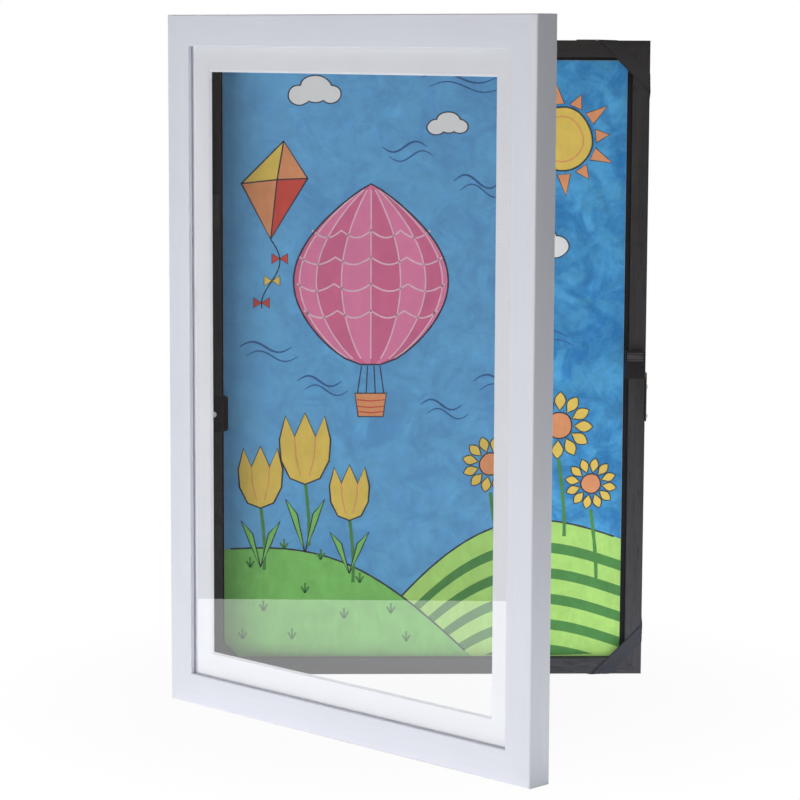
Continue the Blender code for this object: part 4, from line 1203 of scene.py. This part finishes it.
@dataclass
class Picture:
    """The sheet in the tray, with a plain child's picture of a balloon over hills."""

    paper_ease: float = 0.00008
    margin: float = 0.00015
    layer: float = 0.00003
    bold: float = 1.3
    thin: float = 0.9
    mesh: Mesh = field(default_factory=bmesh.new)
    left: float = 0.0
    bottom: float = 0.0
    front: float = 0.0

    def build(self) -> None:
        """Make the paper and paint the picture on it."""
        low, high = (Vector(corner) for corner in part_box("art_sheet"))
        self.left, self.bottom, self.front = low.x, low.z, low.y
        piece(slab(low, high, self.paper_ease), "paper_sheet", [PAPER], Body.TRAY, ["art_sheet"])
        size = (high - low) / MILLIMETRE
        self.sky(size.x, size.z)
        self.hills(size.x)
        self.balloon(112, 298)
        self.kite(40, 362)
        self.sun(255, 398)
        for at in ((238, 318, 1.0), (70, 432, 0.8), (170, 408, 0.62)):
            self.cloud(*at)
        for at in ((256, 180, 26, 14), (281, 135, 20, 10.5), (204, 150, 22, 12)):
            self.flower(*at)
        for at in ((28, 140, 1.0), (62, 162, 1.15), (96, 128, 0.9)):
            self.tulip(*at)
        piece(self.mesh, "painted_picture", [paint.value for paint in Paint], Body.TRAY, [])

    def patch(self, points: list[Point], paint: Paint, layer: int) -> None:
        """Lay a flat patch of paint.

        Args:
            points: Its outline in millimetres from the sheet's lower left corner.
            paint: Its paint.
            layer: How many layers lie under it.
        """
        bm = bmesh.new()
        rear = self.front - self.layer * layer
        verts = [bm.verts.new((self.left + x * MILLIMETRE, rear, self.bottom + z * MILLIMETRE))
                 for x, z in points]
        self.raise_paint(bm, [bm.faces.new(verts)], paint)

    def raise_paint(self, bm: Mesh, faces: list[bmesh.types.BMFace], paint: Paint) -> None:
        """Give flat faces the thickness of a layer and add them to the picture.

        Args:
            bm: The mesh that holds them, which is used up.
            faces: The faces.
            paint: Their paint.
        """
        grown = bmesh.ops.extrude_face_region(bm, geom=faces)
        lifted = [item for item in grown["geom"] if isinstance(item, bmesh.types.BMVert)]
        bmesh.ops.translate(bm, verts=lifted, vec=(0, -self.layer, 0))
        bmesh.ops.recalc_face_normals(bm, faces=bm.faces)
        bmesh.ops.triangulate(bm, faces=bm.faces[:])
        add(self.mesh, bm, list(Paint).index(paint))

    def stroke(self, points: list[Point], width: float, paint: Paint, layer: int, closed: bool = False,
               taper: bool = False) -> None:
        """Draw a line.

        Args:
            points: Its course in millimetres.
            width: Its width in millimetres.
            paint: Its paint.
            layer: How many layers lie under it.
            closed: True if it joins its own start.
            taper: True if it thins out at both ends.
        """
        bm = bmesh.new()
        rear = self.front - self.layer * layer
        count = len(points)
        pairs = []
        for index, point in enumerate(points):
            before = points[index - 1] if index or closed else point
            after = points[(index + 1) % count] if index < count - 1 or closed else point
            along = (Vector(after) - Vector(before)).normalized()
            half = width / 2
            if taper:
                half *= 0.25 + 0.75 * math.sin(math.pi * index / (count - 1)) ** 0.6
            half *= 1 + 0.12 * math.sin(2.7 * index)
            aside = Vector((-along.y, along.x)) * half
            pairs.append([bm.verts.new((self.left + (point[0] + sign * aside.x) * MILLIMETRE, rear,
                                        self.bottom + (point[1] + sign * aside.y) * MILLIMETRE))
                          for sign in (-1, 1)])
        if closed:
            pairs.append(pairs[0])
        faces = [bm.faces.new((near[0], near[1], far[1], far[0])) for near, far in zip(pairs, pairs[1:])]
        self.raise_paint(bm, faces, paint)

    def shape(self, points: list[Point], paint: Paint, layer: int, width: float = 1.1) -> None:
        """Lay a patch with an ink line round it."""
        self.patch(points, paint, layer)
        self.stroke(points, width, Paint.INK, layer + 1, closed=True)

    def ring(self, x: float, z: float, across: float, tall: float, count: int = 40,
             wobble: float = 0.02) -> list[Point]:
        """Return an oval drawn by hand, in millimetres.

        Args:
            x: Its middle in X.
            z: Its middle in Z.
            across: Half its width.
            tall: Half its height.
            count: Points round.
            wobble: How uneven it is, as a share.

        Returns:
            Its points.
        """
        points = []
        for step in range(count):
            angle = 2 * math.pi * step / count
            swell = 1 + wobble * math.sin(3 * angle + x) + wobble * math.sin(5 * angle + z) / 2
            points.append((x + across * swell * math.cos(angle), z + tall * swell * math.sin(angle)))
        return points

    def sky(self, width: float, height: float) -> None:
        """Lay the blue ground and a few strokes of breeze.

        Args:
            width: The sheet's width in millimetres.
            height: Its height.
        """
        edge = self.margin / MILLIMETRE
        self.patch([(edge, edge), (width - edge, edge), (width - edge, height - edge), (edge, height - edge)],
                   Paint.SKY, 0)
        for x, z, long, lift in ((12, 240, 40, 4), (174, 366, 36, 5), (206, 248, 56, -5), (56, 214, 34, 4),
                                 (150, 444, 56, 4), (190, 214, 42, 5), (120, 392, 34, -4), (150, 196, 32, 4)):
            for row in range(2):
                course = [(x + long * step / 24 + 5 * row,
                           z - 7 * row + lift * math.sin(2 * math.pi * step / 24))
                          for step in range(25)]
                self.stroke(course, 1.7 - 0.5 * row, Paint.BREEZE, 1, taper=True)

    def crest(self, start: float, end: float, height: Point, rise: float, drop: float = 0.0) -> list[Point]:
        """Return a hill's crest in millimetres.

        Args:
            start: Where it starts in X.
            end: Where it ends.
            height: Its height at the start and at the end.
            rise: How far its middle stands above the line between them.
            drop: How far the whole of it is lowered.

        Returns:
            Its points from left to right.
        """
        count = 40
        return [(start + (end - start) * step / count,
                 height[0] + (height[1] - height[0]) * step / count
                 + rise * math.sin(math.pi * step / count) - drop) for step in range(count + 1)]

    def hills(self, width: float) -> None:
        """Lay a striped lime hill on the right and a green one on the left.

        Args:
            width: The sheet's width in millimetres.
        """
        edge = self.margin / MILLIMETRE
        right = width - edge
        slope = (96.0, right, (edge, 92.0), 52.0)
        far = self.crest(*slope)
        self.patch(far + [(right, edge)], Paint.LIME, 1)
        self.stroke(far[1:-1], self.bold, Paint.INK, 2)
        for drop in (17, 37, 57, 77, 97):
            upper, lower = ([(x, z) for x, z in self.crest(*slope, lowered) if z > 2 * edge]
                            for lowered in (drop, drop + 8))
            if len(lower) > 2:
                self.patch(upper + lower[::-1], Paint.MEADOW, 3)
        near = self.crest(edge, 190.0, (84.0, edge), 30.0)
        self.patch([(edge, edge)] + near, Paint.GREEN, 4)
        self.stroke(near[1:-1], self.bold, Paint.INK, 5)
        for x, z in ((20, 70), (46, 84), (74, 76), (104, 58), (30, 36), (62, 50), (92, 30), (128, 34),
                     (14, 14), (52, 14), (140, 12)):
            for lean in (-3, 0, 3):
                blade = [(x + lean * step / 6, z + (8 - abs(lean)) * step / 6) for step in range(7)]
                self.stroke(blade, 1.5, Paint.MEADOW, 6)

    def balloon(self, x: float, z: float) -> None:
        """Draw a pink balloon with gores, ropes and a basket.

        Args:
            x: Its middle in X, in millimetres.
            z: Its middle in Z.
        """
        radius, tall = 58.0, 66.0

        def side(share: float, step: int, count: int = 30) -> Point:
            """Find a point on a gore's edge, from the mouth to the crown.

            Args:
                share: Which edge, from -1 on the left to 1 on the right.
                step: How far up.
                count: Steps from the mouth to the crown.

            Returns:
                The point.
            """
            height = step / count
            angle = math.pi * height ** 0.8
            swell = math.sin(angle) ** 0.85 * (1 - 0.12 * math.cos(angle)) + 0.13 * (1 - height) ** 6
            return x + radius * share * swell, z - tall * 1.08 + 2.08 * tall * height

        shares = [math.sin(math.pi / 2 * gore / 4) for gore in range(-4, 5)]
        steps = range(31)
        for index, (near, far) in enumerate(zip(shares, shares[1:])):
            outline = [side(near, step) for step in steps] + [side(far, step) for step in reversed(steps)]
            self.patch(clean(outline), Paint.PINK if index % 2 else Paint.ROSE, 1)
        for share in shares[1:-1]:
            self.stroke([side(share, step) for step in range(1, 30)], 1.0, Paint.BLUSH, 3)
        whole = [side(-1, step) for step in steps] + [side(1, step) for step in reversed(steps)]
        self.stroke(clean(whole), self.bold, Paint.INK, 4, closed=True)
        for row, level in enumerate((9, 13, 17, 21)):
            wave = []
            for step in range(49):
                share = -1 + step / 24
                place = side(share * 0.96, level)
                scallop = 5.5 * abs(math.sin(math.pi * 4 * (share + 1) / 2))
                wave.append((place[0], place[1] - scallop + 2.0 * row))
            self.stroke(wave, 1.2, Paint.BLUSH, 3)
        mouth = z - tall * 1.08
        for share in (-1, -0.35, 0.35, 1):
            self.stroke([(x + 7 * share, mouth - 1), (x + 10 * share, mouth - 22)], self.thin, Paint.INK, 1)
        basket = [(x - 12, mouth - 22), (x + 12, mouth - 22), (x + 9.5, mouth - 40), (x - 9.5, mouth - 40)]
        self.shape(basket, Paint.ORANGE, 2)
        for row in (27, 32, 36):
            self.stroke([(x - 10.8, mouth - row), (x, mouth - row - 1), (x + 10.8, mouth - row)], self.thin,
                        Paint.RED, 3)

    def kite(self, x: float, z: float) -> None:
        """Draw an orange kite with a tail of bows.

        Args:
            x: Its middle in X, in millimetres.
            z: Its middle in Z.
        """
        top, right, foot, left = (x + 6, z + 34), (x + 24, z + 6), (x - 4, z - 40), (x - 26, z + 2)
        middle = (x + 1, z + 5)
        for corner, after, paint in ((top, right, Paint.ORANGE), (right, foot, Paint.RED),
                                     (foot, left, Paint.ORANGE), (left, top, Paint.YELLOW)):
            self.patch([middle, corner, after], paint, 1)
        for start, end in ((top, foot), (left, right)):
            self.stroke([start, middle, end], 1.0, Paint.INK, 3)
        self.stroke([top, right, foot, left], self.bold, Paint.INK, 3, closed=True)
        tail = [(foot[0] + 7 * math.sin(step / 5), foot[1] - 2.1 * step) for step in range(26)]
        self.stroke(tail, 1.0, Paint.INK, 1)
        for index in (7, 15, 23):
            place = tail[index]
            for sign in (-1, 1):
                self.shape([place, (place[0] + 6 * sign, place[1] + 4), (place[0] + 6 * sign, place[1] - 4)],
                           Paint.YELLOW if index == 15 else Paint.RED, 2, 0.8)

    def sun(self, x: float, z: float) -> None:
        """Draw a yellow sun with orange rays.

        Args:
            x: Its middle in X, in millimetres.
            z: Its middle in Z.
        """
        rays = 12
        spread, root = 0.19, 27
        for ray in range(rays):
            angle = 2 * math.pi * ray / rays + 0.1
            tip = 43 if ray % 2 else 37
            self.shape([(x + reach * math.cos(turn), z + reach * math.sin(turn))
                        for reach, turn in ((root, angle - spread), (tip, angle), (root, angle + spread))],
                       Paint.ORANGE, 1, self.thin)
        self.shape(self.ring(x, z, 24, 24), Paint.YELLOW, 3, self.bold)
        self.stroke(self.ring(x, z, 17, 17), 1.0, Paint.ORANGE, 4, closed=True)

    def cloud(self, x: float, z: float, size: float) -> None:
        """Draw a cloud of three white puffs within one outline.

        Args:
            x: Its middle, from the sheet's left edge in millimetres.
            z: Its middle, from the lower edge.
            size: Its scale.
        """
        puffs = ((-15, -2, 11), (14, -1, 10), (0, 4, 15))
        for paint, layer, grown in ((Paint.INK, 1, 0.55), (Paint.CLOUD, 4, -0.55)):
            for step, (dx, dz, radius) in enumerate(puffs):
                reach = radius * size + grown
                self.patch(self.ring(x + dx * size, z + dz * size, reach, reach * 0.85), paint, layer + step)

    def flower(self, x: float, z: float, radius: float, heart: float) -> None:
        """Draw a yellow sunflower on its stem.

        Args:
            x: Its middle in X, in millimetres.
            z: Its middle in Z.
            radius: Reach of its petals.
            heart: Radius of the ring that they spring from.
        """
        stem = [(x + 5 * math.sin(step / 6), z - radius - 6.0 * step) for step in range(11)]
        self.stroke(stem, 2.6, Paint.MEADOW, 5)
        petals, steps, swell = 12, 8, 0.23
        for petal in range(petals):
            angle = 2 * math.pi * petal / petals + x
            leaf = []
            for side, course in ((1, range(steps + 1)), (-1, range(steps - 1, 0, -1))):
                for step in course:
                    share = step / steps
                    turn = angle + side * swell * math.sin(math.pi * share)
                    reach = heart * 0.8 + (radius - heart * 0.8) * share
                    leaf.append((x + reach * math.cos(turn), z + reach * math.sin(turn)))
            self.shape(leaf, Paint.YELLOW, 6, 0.8)
        self.shape(self.ring(x, z, heart * 0.72, heart * 0.72, 28), Paint.ORANGE, 8, 1.0)

    def tulip(self, x: float, z: float, size: float) -> None:
        """Draw a yellow tulip with two leaves.

        Args:
            x: Its middle in X, in millimetres.
            z: Its middle in Z.
            size: Its scale.
        """
        stem = [(x + 3 * math.sin(step / 5), z - 22 * size - 5.0 * step) for step in range(11)]
        self.stroke(stem, 2.4, Paint.MEADOW, 6)
        for sign in (-1, 1):
            leaf = [(x, z - 70 * size), (x + 8 * sign, z - 52 * size), (x + 15 * sign, z - 34 * size),
                    (x + 6 * sign, z - 44 * size)]
            self.shape(leaf, Paint.GREEN, 7, 0.8)
        half = [(10, -20), (16, -8), (17, 6), (13, 22), (7, 8)]
        bloom = [(0, -24)] + half + [(0, 24)] + [(-across, up) for across, up in half[::-1]]
        self.shape([(x + across * size, z + up * size) for across, up in bloom], Paint.YELLOW, 7, 1.2)
        for sign in (-1, 1):
            self.stroke([(x + 7 * sign * size, z + 8 * size), (x + 6 * sign * size, z - 6 * size),
                         (x + 3 * sign * size, z - 18 * size)], self.thin, Paint.ORANGE, 8)


def clean(points: list[Point]) -> list[Point]:
    """Leave out points that repeat the one before.

    Args:
        points: A closed outline.

    Returns:
        The outline without them.
    """
    closest = 0.05
    kept = []
    for point in points:
        if not kept or math.dist(point, kept[-1]) > closest:
            kept.append(point)
    if math.dist(kept[0], kept[-1]) <= closest:
        kept.pop()
    return kept


# The studio


@dataclass(frozen=True)
class Lamp:
    """A soft lamp.

    Attributes:
        name: Its name.
        at: Where it hangs.
        towards: What it points at.
        size: Its sides in metres.
        power: Its power in watts.
        hidden: True if neither the eye nor a mirror sees it.
    """

    name: str
    at: Triple
    towards: Triple
    size: Point
    power: float
    hidden: bool = False

    def hang(self) -> None:
        """Hang the lamp and turn it to what it lights."""
        data = bpy.data.lights.new(self.name, "AREA")
        data.shape = "RECTANGLE"
        data.size, data.size_y = self.size
        data.energy = self.power
        made = put(self.name, data)
        made.location = self.at
        made.rotation_euler = (Vector(self.at) - Vector(self.towards)).to_track_quat("Z", "Y").to_euler()
        if self.hidden:
            for ray in ("camera", "glossy", "transmission"):
                setattr(made, f"visible_{ray}", False)


LAMPS = (Lamp("overhead_softbox", (0.1, -0.4, 2.2), (0.0, -0.1, 0.0), (2.2, 2.2), 8.5),
         Lamp("left_softbox", (-1.6, -2.05, 0.0), (-0.02, -0.1, 0.0), (1.3, 0.45), 25.0, True),
         Lamp("rear_softbox", (1.2, 2.0, 1.1), (0.0, 0.0, 0.0), (1.5, 1.5), 24.0),
         Lamp("left_reflector", (-0.75, -0.45, -0.25), (-0.1, -0.2, 0.0), (0.6, 0.8), 3.0, True),
         Lamp("floor_reflector", (0.0, -0.35, -0.2602), (0.0, -0.35, 1.0), (1.3, 0.9), 1.74, True),
         Lamp("right_reflector", (0.32, -0.30, -0.2602), (0.32, -0.30, 1.0), (0.45, 0.5), 0.54, True))


@dataclass
class Studio:
    """Camera, lamps, floor and the dark card that the pane mirrors."""

    eye: Triple = (-0.0801, -2.1342, 0.2436)
    yaw: float = 0.0286
    pitch: float = -0.12817
    roll: float = 0.00436
    lens: float = 126.39
    sensor: float = 36.0
    clip: Point = (0.05, 50.0)
    floor_level: float = -0.2603
    floor_radius: float = 4.0
    floor_glow: Point = (0.88, 1.0)
    floor_fade: Point = (0.14, 0.44)
    fill: float = 0.07
    card_left: float = -0.575
    card_ends: Point = (-1.2, 1.6)
    card_top: float = 1.2
    card_colour: Colour = (1.0, 0.95, 0.92)
    card_glow: float = 0.06

    def build(self) -> None:
        """Set up everything that isn't part of the frame."""
        scene = bpy.context.scene
        scene.view_settings.view_transform = "Standard"
        self.camera()
        self.world()
        self.floor()
        self.card()
        for lamp in LAMPS:
            lamp.hang()

    def camera(self) -> None:
        """Stand the camera where the viewer stood."""
        data = bpy.data.cameras.new("viewer")
        data.lens = self.lens
        data.sensor_width = self.sensor
        data.clip_start, data.clip_end = self.clip
        made = put("viewer", data)
        made.matrix_world = Matrix.Translation(self.eye)
        for angle, axis in ((-self.yaw, "Z"), (math.pi / 2 + self.pitch, "X"), (self.roll, "Z")):
            made.matrix_world @= Matrix.Rotation(angle, 4, axis)
        bpy.context.scene.camera = made

    def world(self) -> None:
        """Fill the surroundings with soft light, and with white where they are seen."""
        world = bpy.context.scene.world = bpy.data.worlds.new("surroundings")
        graph = Graph(world)
        inputs = graph.tree.nodes["Background"].inputs
        graph.feed(inputs["Color"], (1.0, 1.0, 1.0))
        graph.feed(inputs["Strength"], graph.remap(graph.seen(), self.fill, 1.0, 0.0, 1.0))

    def floor(self) -> None:
        """Lay a white floor that takes the frame's shadow and fades into the white surroundings."""
        bm = bmesh.new()
        bmesh.ops.create_circle(bm, cap_ends=True, segments=96, radius=self.floor_radius,
                                matrix=Matrix.Translation((0, 0, self.floor_level)))
        graph = Graph(bpy.data.materials.new("white_floor"))
        where = graph.place()
        away = graph.node("ShaderNodeVectorMath", {0: where}, operation="LENGTH").outputs["Value"]
        faded = graph.remap(away, *self.floor_glow, *self.floor_fade)
        share = graph.maths("MULTIPLY", faded, graph.seen())
        cloud = graph.noise(where, 6, 2)
        graph.surface("Base Color", graph.tones(cloud, (0.86, 0.86, 0.87), (0.90, 0.90, 0.90)))
        graph.surface("Roughness", 0.9)
        graph.surface("Specular IOR Level", 0.1)
        glow = graph.node("ShaderNodeEmission", {"Color": (1.0, 1.0, 1.0), "Strength": 1.0})
        mixed = graph.node("ShaderNodeMixShader", {0: share, 1: graph.shader.outputs[0], 2: glow.outputs[0]})
        graph.feed(graph.output.inputs["Surface"], mixed.outputs[0])
        self.stand(bm, "floor", graph.owner)

    def card(self) -> None:
        """Stand a dark card at the left, which only gloss sees."""
        bm = bmesh.new()
        (near, far), low, high = self.card_ends, self.floor_level, self.card_top
        bm.faces.new([bm.verts.new((self.card_left, y, z))
                      for y, z in ((near, low), (far, low), (far, high), (near, high))])
        graph = Graph(bpy.data.materials.new("dark_card"))
        dim = graph.node("ShaderNodeEmission", {"Color": self.card_colour, "Strength": self.card_glow})
        graph.feed(graph.output.inputs["Surface"], dim.outputs[0])
        card = self.stand(bm, "dark_card", graph.owner)
        for ray in ("camera", "diffuse", "transmission", "shadow", "volume_scatter"):
            setattr(card, f"visible_{ray}", False)

    def stand(self, bm: Mesh, name: str, material: bpy.types.Material) -> bpy.types.Object:
        """Make a mesh into a part of the studio.

        Args:
            bm: The mesh, which is used up.
            name: Its name.
            material: Its material.

        Returns:
            The object.
        """
        mesh = finished(bm, name)
        mesh.materials.append(material)
        made = put(name, mesh)
        return made


def main() -> None:
    """Build the studio, the frame and its picture."""
    logging.basicConfig(level=logging.INFO, format="%(name)s %(message)s")
    Studio().build()
    tray = Tray()
    tray.build()
    Picture().build()
    CornerStraps(tray).build()
    Door().build()
    Hardware().build()


if __name__ == "__main__":
    main()
